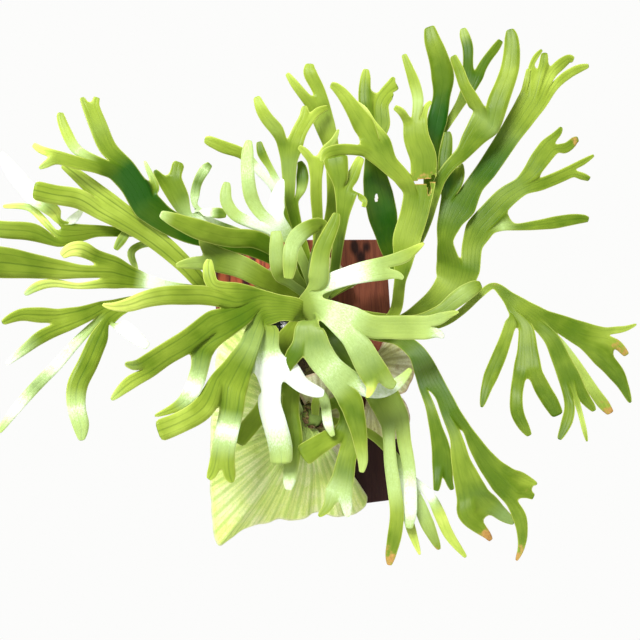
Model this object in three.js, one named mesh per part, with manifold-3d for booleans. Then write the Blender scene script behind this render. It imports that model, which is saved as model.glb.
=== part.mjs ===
// A staghorn fern on a hanging board: millimetres, +Z up, the wall is the plane y = 0 and the
// plant grows out of it towards -Y. The origin is the middle of the board's back face.
import * as THREE from "three";
import { mergeVertices } from "three/addons/utils/BufferGeometryUtils.js";
import Module from "manifold-3d";

const wasm = await Module();
wasm.setup();

// ---- Driving dimensions -------------------------------------------------------------------
const BOARD = { width: 200, height: 300, depth: 20, chamfer: 1.5 };
const GAP = 0.4; // air between neighbouring solids
const FROND_THICK = 2.4; // an antler frond, taken thick enough to collide
const SHIELD_THICK = 2.6;
const CROSS_ROW = 26; // longest stretch of frond between two cross rows

const ROOT_BALL = { x: -20, z: 2, halfWidth: 62, halfHeight: 98, rise: 48, power: 2.2 };
const WRAP = { inner: 1.2, thick: 1.3, openFrom: 0.5, margin: 3 };
const MAIN_CROWN = { x: -12, z: 70, from: 44, to: 115, radius: 19 };
const LOW_CROWN = { x: -19, z: -42, from: 56, to: 98, radius: 14 };

// Blunt bud: the power that rounds its shoulder, the share of its length that tapers, its foot.
const BUD = { shoulder: 0.6, taper: 0.62, foot: 0.92, steps: 6, sides: 20 };

const TIE = { radius: 1, rows: [30, -78], neck: 24.5, reach: 3.5, clear: 3.2, stops: 14, steps: 34 };
const NAIL = { headRadius: 3.4, headHeight: 1.2, shankRadius: 1.3, depth: 13, head: 27, point: 3 };
const HANGER = {
  z: 112, width: 54, height: 24, thick: 2, inset: 1.6, screwX: 20, holeRadius: 4.6, slotRadius: 2.6, slot: 9,
};
const POCKET = { width: 26, height: 20, depth: 12, clear: 0.5 };
const SCREW = { headRadius: 3.4, headHeight: 1.2, shankRadius: 1.6, length: 12, point: 2 };
const TURNED_SIDES = 10; // facets round a nail or a screw
const CUT_PAST = 1; // how far a cutter runs past the face that it opens

// Fronds are plotted as a draughtsman sights them: through an upright frame with a millimetre
// grid, standing SIGHT_FRAME in front of the wall, from one eye point. A plotted point is
// [across, up] on that grid and the distance that it stands out from the wall.
const EYE = new THREE.Vector3(-193, -708, 12);
const SIGHT_FRAME = 150;

const scaleAt = (stand) => (-EYE.y - stand) / (-EYE.y - SIGHT_FRAME);

function plot(across, up, stand) {
  const k = scaleAt(stand);
  return new THREE.Vector3(EYE.x + (across - EYE.x) * k, -stand, EYE.z + (up - EYE.z) * k);
}

// ---- Antler fronds ------------------------------------------------------------------------
// A blade is its rows, each [across, up, stand, width] from the base outwards, and the lobes
// that it forks into. A frond leaves the middle of its crown at a stand of its own.
const blade = (rows, ...lobes) => ({ rows, lobes });
const frond = (crown, stand, width, rows, ...lobes) => ({ crown, stand, width, rows, lobes });

const FRONDS = {
  frond_star: frond(MAIN_CROWN, 97, 12, [[-46, 56, 122, 13], [-41, 60, 144, 20], [-31, 63, 160, 34]],
    blade([[-14, 84, 170, 13], [2, 89, 176, 16], [20, 93, 180, 19], [40, 96, 182, 22]],
      blade([[62, 107, 182, 13], [74, 114, 180, 8], [84, 120, 178, 2]]),
      blade([[53, 90, 184, 8], [60, 86, 185, 3]])),
    blade([[-14, 55, 172, 22], [2, 45, 182, 32]],
      blade([[22, 43, 188, 20], [42, 42, 190, 19], [62, 41, 189, 20], [80, 40, 187, 21]],
        blade([[95, 46, 184, 12], [106, 50, 182, 7], [116, 52, 180, 2]]),
        blade([[90, 33, 186, 10], [98, 28, 185, 3]])),
      blade([[14, 24, 188, 22], [22, 8, 190, 25], [27, -4, 190, 27]],
        blade([[20, -15, 190, 9], [15, -24, 190, 2]]),
        blade([[37, -11, 190, 13], [44, -15, 190, 7]]))),
    blade([[-37, 42, 160, 23], [-35, 28, 164, 27], [-25, 14, 168, 29], [-11, 0, 170, 27],
      [0, -14, 170, 27]],
      blade([[6, -30, 168, 18], [7, -48, 165, 13], [7, -68, 160, 10], [6, -82, 156, 9],
        [5, -92, 152, 4]]),
      blade([[20, -19, 170, 12], [34, -19, 170, 12], [48, -15, 168, 11], [58, -6, 166, 8],
        [62, -1, 165, 4]]))),

  frond_middle: frond(MAIN_CROWN, 111, 9, [[-28, 84, 142, 12], [-27, 98, 156, 14], [-20, 111, 168, 22],
    [-9, 130, 176, 23], [3, 148, 179, 17], [9, 162, 180, 17], [9, 182, 180, 22], [5, 203, 178, 28]]),

  frond_left_front: frond(MAIN_CROWN, 88, 12, [[-50, 62, 112, 15], [-64, 62, 134, 22],
    [-80, 64, 152, 30]],
    blade([[-104, 75, 162, 15]],
      blade([[-121, 84, 168, 12], [-124, 94, 168, 12], [-124, 102, 166, 10], [-123, 107, 166, 4]]),
      blade([[-126, 75, 170, 15], [-144, 76, 180, 15], [-164, 76, 190, 15], [-180, 73, 200, 13],
        [-192, 69, 208, 12], [-204, 68, 214, 7], [-213, 70, 217, 2]])),
    blade([[-102, 57, 162, 17], [-120, 50, 170, 26]],
      blade([[-144, 37, 184, 18], [-164, 26, 196, 19], [-180, 16, 206, 20]],
        blade([[-189, 18, 212, 9], [-197, 20, 216, 3]]),
        blade([[-194, 4, 214, 12], [-209, -9, 220, 3]])),
      blade([[-131, 30, 176, 18], [-136, 12, 186, 15], [-142, -4, 192, 15], [-150, -15, 196, 12],
        [-162, -21, 200, 7], [-175, -25, 202, 2]])),
    blade([[-84, 44, 156, 15], [-92, 28, 164, 17], [-102, 12, 174, 24], [-112, -4, 184, 33]],
      blade([[-134, -21, 196, 19], [-154, -32, 204, 17], [-173, -38, 210, 18]]),
      blade([[-110, -24, 186, 20], [-115, -42, 184, 19], [-119, -58, 180, 19], [-121, -70, 176, 21]],
        blade([[-130, -78, 174, 9], [-133, -82, 173, 4]]),
        blade([[-115, -80, 174, 11], [-113, -87, 173, 3]]))),
    blade([[-72, 44, 150, 14], [-76, 28, 150, 20], [-74, 12, 150, 30], [-66, 0, 148, 40]],
      blade([[-77, -20, 148, 20], [-73, -40, 144, 21], [-69, -60, 138, 21], [-69, -76, 134, 19]]),
      blade([[-45, -9, 148, 14], [-33, -15, 148, 11], [-26, -17, 148, 6]]))),

  frond_left_band: frond(MAIN_CROWN, 82, 10, [[-56, 78, 102, 16], [-76, 89, 126, 18],
    [-96, 100, 136, 20], [-114, 106, 142, 22]],
    blade([[-134, 104, 146, 12], [-152, 102, 150, 3]]),
    blade([[-125, 118, 146, 11], [-130, 126, 148, 3]])),

  frond_left_finger: frond(MAIN_CROWN, 101, 8, [[-52, 84, 130, 8], [-62, 92, 144, 11],
    [-63, 106, 152, 13], [-62, 120, 156, 13], [-62, 132, 156, 9]]),

  frond_left_long: frond(MAIN_CROWN, 93, 9, [[-46, 89, 109, 10], [-58, 110, 124, 14],
    [-80, 124, 140, 16],
    [-105, 126, 154, 17], [-130, 133, 168, 18], [-150, 141, 176, 13], [-163, 147, 180, 6]]),

  frond_far_left_dark: frond(MAIN_CROWN, 76, 9, [[-58, 100, 94, 12], [-85, 116, 108, 16],
    [-115, 124, 122, 20], [-140, 132, 134, 24], [-160, 142, 144, 26], [-174, 154, 152, 30]],
    blade([[-184, 171, 160, 26], [-193, 184, 166, 28]],
      blade([[-203, 202, 172, 18], [-210, 220, 176, 17], [-216, 238, 178, 16]],
        blade([[-223, 246, 178, 4]]),
        blade([[-211, 247, 178, 5]])),
      blade([[-212, 188, 172, 16]],
        blade([[-228, 200, 176, 10], [-236, 215, 178, 11], [-240, 228, 178, 8], [-240, 232, 178, 4]]),
        blade([[-230, 190, 176, 13], [-244, 194, 180, 13]],
          blade([[-255, 199, 182, 8], [-262, 204, 182, 4]]),
          blade([[-252, 188, 182, 6], [-258, 184, 182, 2]])))),
    blade([[-165, 170, 152, 7], [-170, 182, 152, 5], [-174, 193, 152, 2]])),

  frond_far_left_light: frond(MAIN_CROWN, 71, 9, [[-70, 69, 89, 11], [-100, 72, 102, 13],
    [-128, 84, 116, 14],
    [-143, 101, 124, 16], [-160, 118, 130, 18], [-176, 131, 136, 20], [-194, 144, 144, 24],
    [-209, 154, 150, 28]],
    blade([[-220, 171, 156, 14], [-230, 180, 160, 11], [-240, 188, 162, 6]]),
    blade([[-228, 159, 158, 19], [-246, 162, 166, 17], [-263, 166, 172, 17]])),

  frond_far_left_low: frond(MAIN_CROWN, 57, 8,
    [[-70, 76, 68, 8], [-100, 80, 78, 9], [-128, 87, 90, 9], [-144, 102, 100, 12],
    [-160, 118, 110, 18]],
    blade([[-180, 130, 118, 9], [-197, 131, 126, 9], [-216, 132, 134, 11], [-232, 130, 144, 18],
      [-244, 130, 150, 26]],
      blade([[-264, 131, 158, 17], [-286, 133, 168, 15], [-308, 137, 176, 13], [-326, 142, 182, 6]]),
      blade([[-258, 143, 147, 7], [-267, 152, 145, 7], [-286, 152, 146, 3]]),
      blade([[-246, 146, 152, 12], [-262, 160, 158, 15], [-276, 178, 162, 14], [-287, 196, 162, 5]]),
      blade([[-233, 142, 146, 8], [-226, 150, 146, 3]])),
    blade([[-171, 121, 110, 6], [-183, 119, 108, 6], [-189, 113, 108, 8], [-186, 103, 108, 5],
      [-184, 96, 108, 2]]),
    blade([[-173, 134, 124, 6], [-187, 135, 131, 8], [-196, 124, 134, 9], [-201, 116, 134, 4]])),

  frond_left_middle: frond(MAIN_CROWN, 66, 8, [[-90, 74, 84, 9], [-130, 79, 97, 9], [-158, 84, 107, 8],
    [-174, 88, 116, 12], [-188, 92, 124, 19], [-204, 97, 134, 29]],
    blade([[-217, 111, 144, 12], [-228, 117, 152, 15], [-237, 116, 156, 12], [-243, 111, 158, 5]]),
    blade([[-228, 98, 148, 12], [-246, 99, 158, 14], [-264, 102, 168, 17], [-284, 106, 178, 21],
      [-304, 110, 188, 20], [-318, 112, 194, 10]]),
    blade([[-232, 86, 146, 5], [-250, 89, 156, 7], [-262, 87, 162, 8], [-272, 80, 164, 3]])),

  frond_left_low: frond(MAIN_CROWN, 61, 8, [[-60, 64, 68, 9], [-90, 67, 76, 9], [-130, 72, 88, 9],
    [-165, 75, 100, 9], [-186, 72, 110, 11], [-201, 67, 118, 17], [-210, 63, 123, 24]],
    blade([[-226, 63, 132, 16], [-244, 58, 142, 22]],
      blade([[-260, 63, 152, 14], [-276, 64, 160, 11], [-289, 58, 166, 4]]),
      blade([[-260, 46, 150, 12], [-272, 37, 156, 9], [-287, 25, 162, 3]])),
    blade([[-234, 40, 132, 9], [-250, 22, 142, 10], [-266, 6, 150, 10], [-281, -11, 156, 9],
      [-294, -28, 160, 4]]),
    blade([[-217, 42, 130, 17], [-226, 22, 138, 18], [-235, 4, 142, 18], [-236, -14, 142, 15],
      [-233, -28, 140, 14], [-233, -40, 138, 4]]),
    blade([[-199, 52, 122, 13], [-189, 43, 124, 13], [-178, 33, 126, 6]])),

  frond_pale: frond(MAIN_CROWN, 98.5, 8, [[-40, 108, 123, 9], [-50, 126, 130, 12], [-62, 137, 138, 22]],
    blade([[-60, 152, 142, 15], [-58, 166, 144, 12], [-53, 180, 144, 3]]),
    blade([[-76, 149, 144, 11], [-83, 163, 148, 13], [-85, 186, 152, 12], [-84, 204, 154, 11],
      [-82, 215, 154, 5]]),
    blade([[-86, 140, 144, 10], [-99, 147, 148, 11], [-106, 160, 150, 11], [-105, 170, 150, 9],
      [-104, 176, 150, 5]])),

  frond_hook: frond(MAIN_CROWN, 105, 8, [[-30, 98, 131, 8], [-22, 120, 142, 10], [-17, 137, 148, 13],
    [-28, 136, 156, 14],
    [-41, 128, 162, 16], [-49, 115, 166, 14], [-51, 100, 166, 13], [-53, 88, 164, 8]]),

  frond_up_left: frond(MAIN_CROWN, 84, 8, [[-36, 112, 100, 9], [-42, 136, 112, 10],
    [-46, 158, 122, 12]],
    blade([[-47, 178, 132, 12], [-46, 196, 140, 15], [-44, 212, 146, 24]],
      blade([[-55, 225, 150, 13], [-63, 234, 152, 12], [-69, 244, 154, 11], [-73, 256, 154, 6]]),
      blade([[-34, 226, 150, 14], [-27, 237, 152, 14]],
        blade([[-28, 247, 153, 7], [-28, 250, 153, 3]]),
        blade([[-16, 245, 153, 8], [-5, 250, 153, 4]]))),
    blade([[-36, 170, 128, 9], [-34, 182, 130, 12], [-34, 191, 130, 9], [-36, 197, 130, 4]])),

  frond_up_tall: frond(MAIN_CROWN, 78, 8, [[-16, 125, 92, 9], [-7, 155, 104, 11], [-4, 185, 116, 13],
    [-4, 210, 126, 14], [-9, 232, 136, 19], [-15, 252, 144, 22]],
    blade([[-14, 268, 148, 12], [-21, 283, 150, 13], [-20, 291, 150, 7]]),
    blade([[-36, 270, 148, 8], [-43, 280, 148, 4]])),

  frond_up_fork: frond(MAIN_CROWN, 92, 8, [[-24, 116, 108, 8], [-22, 145, 128, 10],
    [-22, 165, 140, 11], [-21, 181, 148, 11], [-20, 196, 153, 15]],
    blade([[-29, 205, 156, 8], [-36, 211, 157, 4]]),
    blade([[-11, 208, 156, 9], [-2, 217, 157, 6], [4, 229, 157, 2]])),

  frond_up_thin: frond(MAIN_CROWN, 72, 7, [[-44, 120, 85, 8], [-52, 150, 94, 9], [-60, 174, 104, 12]],
    blade([[-77, 190, 110, 8], [-88, 202, 114, 10], [-106, 208, 118, 11], [-118, 213, 120, 9],
      [-122, 214, 120, 5]]),
    blade([[-65, 192, 110, 6], [-71, 203, 112, 9], [-73, 214, 112, 5]])),

  frond_olive: frond(MAIN_CROWN, 65, 8, [[-62, 112, 77, 9], [-92, 128, 92, 10], [-120, 138, 102, 12],
    [-136, 147, 108, 20]],
    blade([[-147, 162, 112, 20], [-153, 175, 114, 22]],
      blade([[-146, 190, 116, 12], [-145, 193, 116, 6]]),
      blade([[-164, 182, 116, 7], [-166, 185, 116, 3]])),
    blade([[-133, 162, 112, 9], [-130, 175, 114, 9], [-123, 187, 116, 10], [-118, 192, 116, 5]]),
    blade([[-122, 148, 112, 9], [-112, 148, 114, 11], [-106, 147, 114, 6]])),

  frond_ragged: frond(MAIN_CROWN, 91, 9, [[6, 44, 112, 10], [24, 47, 126, 11], [37, 62, 136, 10],
    [46, 82, 144, 13], [56, 103, 150, 26], [65, 124, 156, 34], [75, 146, 160, 31], [81, 165, 163, 32]],
    blade([[66, 184, 168, 18], [53, 197, 171, 20], [42, 213, 173, 34]],
      blade([[38, 238, 176, 8], [31, 249, 177, 9], [22, 257, 177, 4]]),
      blade([[30, 234, 175, 24], [20, 250, 177, 17], [12, 262, 178, 14], [4, 270, 178, 10],
        [-1, 272, 178, 5]]),
      blade([[18, 210, 171, 11], [2, 209, 170, 12], [-10, 205, 169, 12], [-14, 197, 168, 5]])),
    blade([[89, 188, 168, 28], [90, 205, 173, 30], [84, 224, 177, 28], [84, 240, 179, 26]],
      blade([[97, 256, 181, 7], [103, 262, 181, 3]]),
      blade([[89, 262, 181, 13], [86, 280, 183, 12], [81, 296, 184, 9], [77, 308, 184, 5]]),
      blade([[71, 249, 181, 9], [63, 254, 181, 5]]))),

  frond_shaded: frond(MAIN_CROWN, 71, 9, [[6, 82, 83, 12], [26, 92, 93, 18], [37, 106, 105, 24],
    [40, 128, 120, 30],
    [39, 150, 128, 32], [38, 172, 134, 26], [36, 196, 138, 15], [41, 218, 142, 14], [46, 237, 146, 22]],
    blade([[33, 255, 148, 13], [33, 268, 148, 12], [35, 282, 148, 10], [36, 290, 148, 5]]),
    blade([[49, 256, 149, 15], [56, 267, 150, 15]],
      blade([[63, 281, 150, 6], [64, 284, 150, 3]]),
      blade([[68, 275, 150, 6]]),
      blade([[62, 264, 150, 6]]))),

  frond_tall_dark: frond(MAIN_CROWN, 64, 9, [[24, 84, 75, 10], [58, 104, 90, 11], [82, 132, 102, 12],
    [94, 165, 116, 13],
    [98, 200, 127, 14], [102, 222, 133, 15], [108, 243, 139, 19], [115, 268, 146, 16],
    [118, 288, 152, 22], [114, 310, 156, 18], [109, 326, 158, 15], [107, 339, 158, 10]]),

  frond_tall_fork: frond(MAIN_CROWN, 59, 8, [[28, 78, 68, 9], [66, 106, 82, 9], [88, 150, 96, 9],
    [96, 190, 110, 8], [101, 214, 118, 8], [118, 238, 128, 8], [134, 260, 138, 10], [146, 278, 146, 17],
    [152, 292, 150, 24]],
    blade([[148, 308, 152, 11], [149, 322, 154, 12], [146, 334, 154, 11], [145, 341, 154, 5]]),
    blade([[163, 301, 152, 11], [172, 313, 154, 10], [181, 323, 156, 10], [188, 332, 156, 6]])),

  frond_tall_front: frond(MAIN_CROWN, 85, 9, [[24, 76, 102, 11], [62, 98, 120, 11],
    [86, 132, 138, 12], [98, 165, 153, 12],
    [107, 184, 160, 12], [120, 199, 165, 13], [134, 211, 170, 16], [147, 227, 175, 25],
    [163, 244, 180, 36]],
    blade([[150, 266, 184, 14], [142, 280, 186, 12], [137, 296, 186, 11], [131, 311, 186, 7]]),
    blade([[178, 264, 186, 24], [188, 284, 190, 22], [196, 302, 192, 20], [200, 320, 194, 18],
      [201, 336, 194, 15], [200, 345, 194, 8]])),

  frond_right: frond(MAIN_CROWN, 81.5, 10, [[20, 67, 90, 14], [55, 64, 104, 22], [88, 66, 116, 36],
    [112, 78, 124, 42], [119, 96, 130, 50]],
    blade([[108, 120, 136, 22], [113, 140, 142, 28], [124, 158, 146, 42]],
      blade([[112, 180, 146, 14], [112, 196, 147, 15], [115, 212, 148, 15], [118, 226, 148, 12],
        [118, 232, 148, 6]]),
      blade([[127, 180, 149, 9], [130, 191, 150, 9], [131, 200, 150, 4]]),
      blade([[144, 178, 150, 22], [158, 193, 154, 24], [172, 210, 158, 25], [188, 230, 162, 27],
        [206, 252, 166, 31], [222, 272, 170, 36]],
        blade([[216, 292, 172, 8], [219, 304, 172, 5]]),
        blade([[220, 302, 171, 5], [229, 318, 171, 6], [237, 326, 171, 3]]),
        blade([[232, 298, 174, 10], [238, 312, 175, 11], [240, 323, 175, 8]]),
        blade([[246, 300, 174, 13], [258, 311, 175, 14], [270, 319, 176, 12], [276, 318, 176, 5]]),
        blade([[248, 286, 174, 11], [265, 300, 176, 12], [282, 309, 178, 10], [295, 313, 178, 4]]))),
    blade([[134, 117, 138, 27], [146, 134, 144, 32]],
      blade([[160, 150, 150, 27], [178, 166, 156, 25], [198, 178, 162, 22]],
        blade([[210, 192, 166, 20], [222, 206, 169, 23], [236, 221, 172, 24]],
          blade([[248, 236, 174, 9], [253, 243, 174, 3]]),
          blade([[258, 221, 174, 13], [268, 229, 175, 10], [273, 231, 175, 5]])),
        blade([[222, 181, 166, 15], [244, 189, 170, 15], [261, 196, 174, 15]],
          blade([[276, 206, 176, 8], [291, 214, 178, 3]]),
          blade([[273, 191, 176, 9], [283, 188, 177, 5]]))),
      blade([[172, 136, 148, 9], [190, 136, 152, 8], [212, 138, 158, 12], [236, 141, 162, 15],
        [256, 144, 166, 14], [271, 145, 168, 11], [277, 144, 168, 5]]))),

  frond_right_small: frond(MAIN_CROWN, 88, 8, [[30, 50, 107, 9], [70, 46, 118, 10],
    [98, 54, 130, 13], [112, 63, 136, 16], [124, 70, 140, 17], [136, 76, 142, 14], [143, 78, 142, 7]]),

  frond_far_right: frond(MAIN_CROWN, 71, 9, [[30, 44, 82, 10], [70, 38, 96, 9], [100, 42, 108, 8],
    [122, 54, 118, 8], [142, 69, 126, 8], [157, 77, 132, 8], [171, 66, 138, 14], [183, 54, 144, 26]],
    blade([[173, 40, 148, 13], [166, 24, 152, 14], [156, 5, 156, 16], [146, -12, 158, 17],
      [139, -26, 160, 12], [133, -42, 160, 3]]),
    blade([[189, 36, 150, 16], [190, 14, 154, 22], [188, -8, 157, 32]],
      blade([[173, -32, 160, 14], [172, -50, 162, 15], [178, -64, 162, 13], [184, -74, 162, 5]]),
      blade([[203, -28, 160, 19], [211, -42, 162, 19], [219, -57, 162, 14]])),
    blade([[206, 42, 150, 26]],
      blade([[218, 22, 156, 18], [228, 0, 160, 21], [237, -22, 164, 26]],
        blade([[234, -48, 166, 12], [229, -64, 166, 13], [218, -81, 166, 4]]),
        blade([[246, -58, 164, 5], [249, -74, 163, 5], [251, -86, 162, 2]]),
        blade([[251, -40, 166, 14], [259, -50, 167, 11], [263, -56, 167, 4]])),
      blade([[231, 14, 151, 9], [248, -10, 152, 12], [262, -32, 152, 13], [275, -50, 152, 14],
        [283, -60, 152, 8]]),
      blade([[238, 32, 156, 25], [260, 22, 162, 32]],
        blade([[278, -2, 166, 22], [294, -19, 168, 20], [303, -35, 168, 12], [309, -51, 168, 3]]),
        blade([[284, 22, 166, 18]],
          blade([[300, 26, 168, 9], [312, 27, 170, 6], [326, 31, 172, 2]]),
          blade([[299, 11, 168, 12], [310, -1, 168, 7]]))))),

  frond_down_right: frond(MAIN_CROWN, 78, 10, [[20, 36, 92, 12], [50, 29, 106, 14],
    [68, 15, 116, 19], [76, -2, 126, 24], [81, -16, 132, 28]],
    blade([[78, -36, 138, 10], [82, -55, 142, 13], [86, -75, 143, 19], [87, -92, 143, 22]],
      blade([[80, -108, 144, 9], [78, -116, 144, 5]]),
      blade([[92, -107, 144, 9], [95, -117, 144, 4]])),
    blade([[92, -26, 138, 17], [99, -44, 144, 20]],
      blade([[103, -68, 150, 13], [106, -90, 154, 20], [111, -108, 156, 28], [116, -124, 157, 34]],
        blade([[108, -141, 158, 20], [118, -153, 159, 15], [128, -163, 160, 9], [132, -169, 160, 4]]),
        blade([[135, -135, 159, 19], [147, -147, 160, 14], [159, -156, 160, 5]])),
      blade([[115, -61, 148, 10], [126, -82, 152, 18], [139, -101, 156, 25], [151, -114, 160, 32]],
        blade([[170, -113, 162, 12], [188, -122, 164, 3]]),
        blade([[160, -131, 162, 22]],
          blade([[174, -129, 164, 11], [183, -134, 165, 6]]),
          blade([[165, -150, 164, 15], [167, -168, 165, 11], [164, -182, 166, 7],
            [158, -192, 166, 2]]))))),

  frond_down: frond(MAIN_CROWN, 72, 10, [[2, 18, 86, 14], [20, -6, 98, 22], [33, -26, 106, 30],
    [41, -46, 112, 28]],
    blade([[34, -66, 116, 11], [34, -86, 119, 12], [36, -110, 121, 13], [37, -132, 122, 13],
      [33, -152, 122, 13], [28, -168, 122, 10], [26, -177, 122, 4]]),
    blade([[49, -66, 116, 13], [52, -90, 119, 12], [52, -112, 121, 12], [50, -132, 122, 13],
      [48, -147, 122, 6]])),

  frond_behind_left: frond(MAIN_CROWN, 73, 9, [[-50, 44, 84, 14], [-60, 30, 92, 20],
    [-63, 12, 98, 24], [-64, -6, 104, 32]],
    blade([[-84, -28, 110, 15], [-97, -42, 114, 16], [-107, -54, 116, 13]]),
    blade([[-58, -32, 108, 15], [-56, -55, 112, 15], [-60, -76, 114, 14], [-63, -92, 114, 11],
      [-64, -99, 114, 5]])),

  frond_low: frond(LOW_CROWN, 86, 8, [[-14, -26, 96, 12], [-4, -34, 106, 18], [-2, -46, 112, 26],
    [-5, -56, 114, 32]],
    blade([[-20, -56, 116, 17], [-35, -63, 118, 20], [-50, -71, 120, 22]]),
    blade([[-8, -76, 116, 18], [-13, -94, 118, 22], [-18, -107, 120, 27]],
      blade([[-29, -118, 121, 10], [-38, -125, 121, 3]]),
      blade([[-11, -120, 121, 11], [-11, -129, 121, 4]]))),

  frond_low_lime: frond(LOW_CROWN, 80, 8, [[14, -56, 88, 8], [38, -80, 92, 9], [50, -104, 98, 17]],
    blade([[46, -128, 103, 8], [50, -148, 105, 9], [57, -172, 106, 2]]),
    blade([[59, -124, 104, 12], [67, -146, 108, 13], [74, -163, 110, 8], [77, -170, 110, 3]]),
    blade([[72, -120, 104, 9], [80, -138, 108, 11], [88, -158, 110, 10], [104, -181, 112, 3]])),

  frond_low_finger: frond(LOW_CROWN, 92, 7, [[-34, -24, 106, 8], [-28, -17, 114, 9],
    [-25, -30, 122, 9], [-24, -44, 125, 9], [-20, -56, 125, 4]]),
};

// ---- Shield fronds ------------------------------------------------------------------------
// A shield is a fan from its hub to the points of its rim, all plotted, domed by its swell.
const SHIELDS = {
  shield_green: {
    hub: [-43, -38, 84], swell: 15, rings: 4, ripple: 2.5,
    rim: [[-88, 56, 58], [-112, 48, 50], [-120, 28, 48], [-124, 4, 48], [-128, -28, 50],
      [-131, -60, 51], [-132, -98, 50],
      [-128, -136, 48], [-115, -131, 46], [-101, -124, 44], [-87, -124, 42], [-75, -121, 40],
      [-63, -125, 38],
      [-52, -123, 36], [-40, -120, 35], [-26, -125, 34], [-11, -127, 33], [2, -122, 32], [8, -113, 31]],
  },
  shield_old: {
    hub: [-40, -38, 74], swell: 7, rings: 3, ripple: 1.5,
    rim: [[-56, -6, 71], [-34, 2, 73], [-12, -2, 72], [4, -14, 68], [8, -32, 64], [5, -52, 58],
      [0, -72, 52], [-5, -92, 46], [-12, -106, 41]],
  },
  shield_right: {
    hub: [18, 8, 42], swell: 6, rings: 3, ripple: 1.5,
    rim: [[34, 26, 30], [48, 27, 29], [59, 20, 30], [64, 6, 31], [61, -10, 32], [52, -21, 33],
      [40, -24, 34]],
  },
  shield_right_low: {
    hub: [16, -18, 42], swell: 6, rings: 3, ripple: 1.5,
    rim: [[50, -27, 31], [55, -42, 30], [51, -57, 29], [38, -64, 29], [24, -64, 29], [13, -58, 30],
      [6, -44, 36]],
  },
  shield_top: {
    hub: [-32, 76, 56], swell: 6, rings: 3, ripple: 1.5,
    rim: [[-78, 66, 48], [-80, 84, 40], [-70, 98, 34], [-52, 108, 30], [-32, 112, 29],
      [-12, 106, 30], [2, 94, 34], [8, 78, 40]],
  },
};

// ---- Solids and meshes --------------------------------------------------------------------
function geometryOf(points, faces) {
  const geometry = new THREE.BufferGeometry();
  const flat = points.flatMap((p) => [p.x, p.y, p.z]);
  geometry.setAttribute("position", new THREE.Float32BufferAttribute(flat, 3));
  geometry.setIndex(faces.flat());
  return geometry;
}

function solidOf(geometry) {
  const bare = geometry.clone();
  bare.deleteAttribute("normal");
  bare.deleteAttribute("uv");
  const merged = mergeVertices(bare, 1e-4);
  return new wasm.Manifold(
    new wasm.Mesh({
      numProp: 3,
      vertProperties: new Float32Array(merged.attributes.position.array),
      triVerts: new Uint32Array(merged.index.array),
    }),
  );
}

function geometryOfSolid(solid) {
  const mesh = solid.getMesh();
  const geometry = new THREE.BufferGeometry();
  geometry.setAttribute("position", new THREE.BufferAttribute(new Float32Array(mesh.vertProperties), 3));
  geometry.setIndex(new THREE.BufferAttribute(new Uint32Array(mesh.triVerts), 1));
  return geometry;
}

function cut(geometry, ...cutters) {
  const solid = cutters.reduce((rest, cutter) => rest.subtract(solidOf(cutter)), solidOf(geometry));
  return geometryOfSolid(solid);
}

// Thickens an open sheet, given as points, their unit normals and its four-sided cells, into
// one closed shell. Cells run round their corners, seen from the side that the normals face.
function thicken(points, normals, cells, thickness) {
  const count = points.length;
  const front = points.map((p, i) => p.clone().addScaledVector(normals[i], thickness / 2));
  const back = points.map((p, i) => p.clone().addScaledVector(normals[i], -thickness / 2));
  const faces = [];
  const edges = new Map();
  for (const cell of cells) {
    const corners = cell.filter((c, i) => c !== cell[(i + 1) % cell.length]);
    for (let i = 1; i + 1 < corners.length; i++) {
      faces.push([corners[0], corners[i], corners[i + 1]]);
      faces.push([corners[0] + count, corners[i + 1] + count, corners[i] + count]);
    }
    corners.forEach((a, i) => {
      const b = corners[(i + 1) % corners.length];
      if (!edges.delete(`${b},${a}`)) edges.set(`${a},${b}`, [a, b]);
    });
  }
  for (const [a, b] of edges.values()) {
    faces.push([a, a + count, b + count]);
    faces.push([a, b + count, b]);
  }
  return geometryOf([...front, ...back], faces);
}

// A surface of revolution about the line towards the viewer through (x, z), from a profile of
// [radius, stand] points that starts and ends on that line.
function turned(x, z, profile, segments) {
  const outline = profile.map(([radius, stand]) => new THREE.Vector2(radius, stand));
  const lathe = new THREE.LatheGeometry(outline, segments);
  lathe.scale(1, -1, 1);
  lathe.translate(x, 0, z);
  return flipIfInsideOut(lathe);
}

function flipIfInsideOut(geometry) {
  if (solidOf(geometry).volume() > 0) return geometry;
  const index = geometry.index.array;
  for (let i = 0; i < index.length; i += 3) {
    [index[i], index[i + 1]] = [index[i + 1], index[i]];
  }
  return geometry;
}

// A flat outline in x and z, pushed from one stand to another.
function slab(shape, fromStand, toStand, segments = 12) {
  const geometry = new THREE.ExtrudeGeometry(shape, {
    depth: toStand - fromStand,
    bevelEnabled: false,
    curveSegments: segments,
  });
  geometry.rotateX(Math.PI / 2);
  geometry.translate(0, -fromStand, 0);
  return geometry;
}

function rectangle(x, z, width, height) {
  const shape = new THREE.Shape();
  shape.moveTo(x - width / 2, z - height / 2);
  shape.lineTo(x + width / 2, z - height / 2);
  shape.lineTo(x + width / 2, z + height / 2);
  shape.lineTo(x - width / 2, z + height / 2);
  shape.closePath();
  return shape;
}

function disc(x, z, radius) {
  const shape = new THREE.Shape();
  shape.absarc(x, z, radius, 0, 2 * Math.PI);
  return shape;
}

// ---- Crowns, root ball and its wrap -------------------------------------------------------
// A blunt bud from its root side to its tip, let out all round by the allowance.
function crownGeometry({ x, z, from, to, radius }, allowance = 0) {
  const profile = [[0, from - allowance], [radius * BUD.foot + allowance, from - allowance]];
  for (let i = 1; i < BUD.steps; i++) {
    const a = (i / BUD.steps) * (Math.PI / 2);
    const stand = to + allowance - (to - from) * BUD.taper * (1 - Math.sin(a));
    profile.push([(radius + allowance) * Math.cos(a) ** BUD.shoulder, stand]);
  }
  profile.push([0, to + allowance]);
  return turned(x, z, profile, BUD.sides);
}

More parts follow.
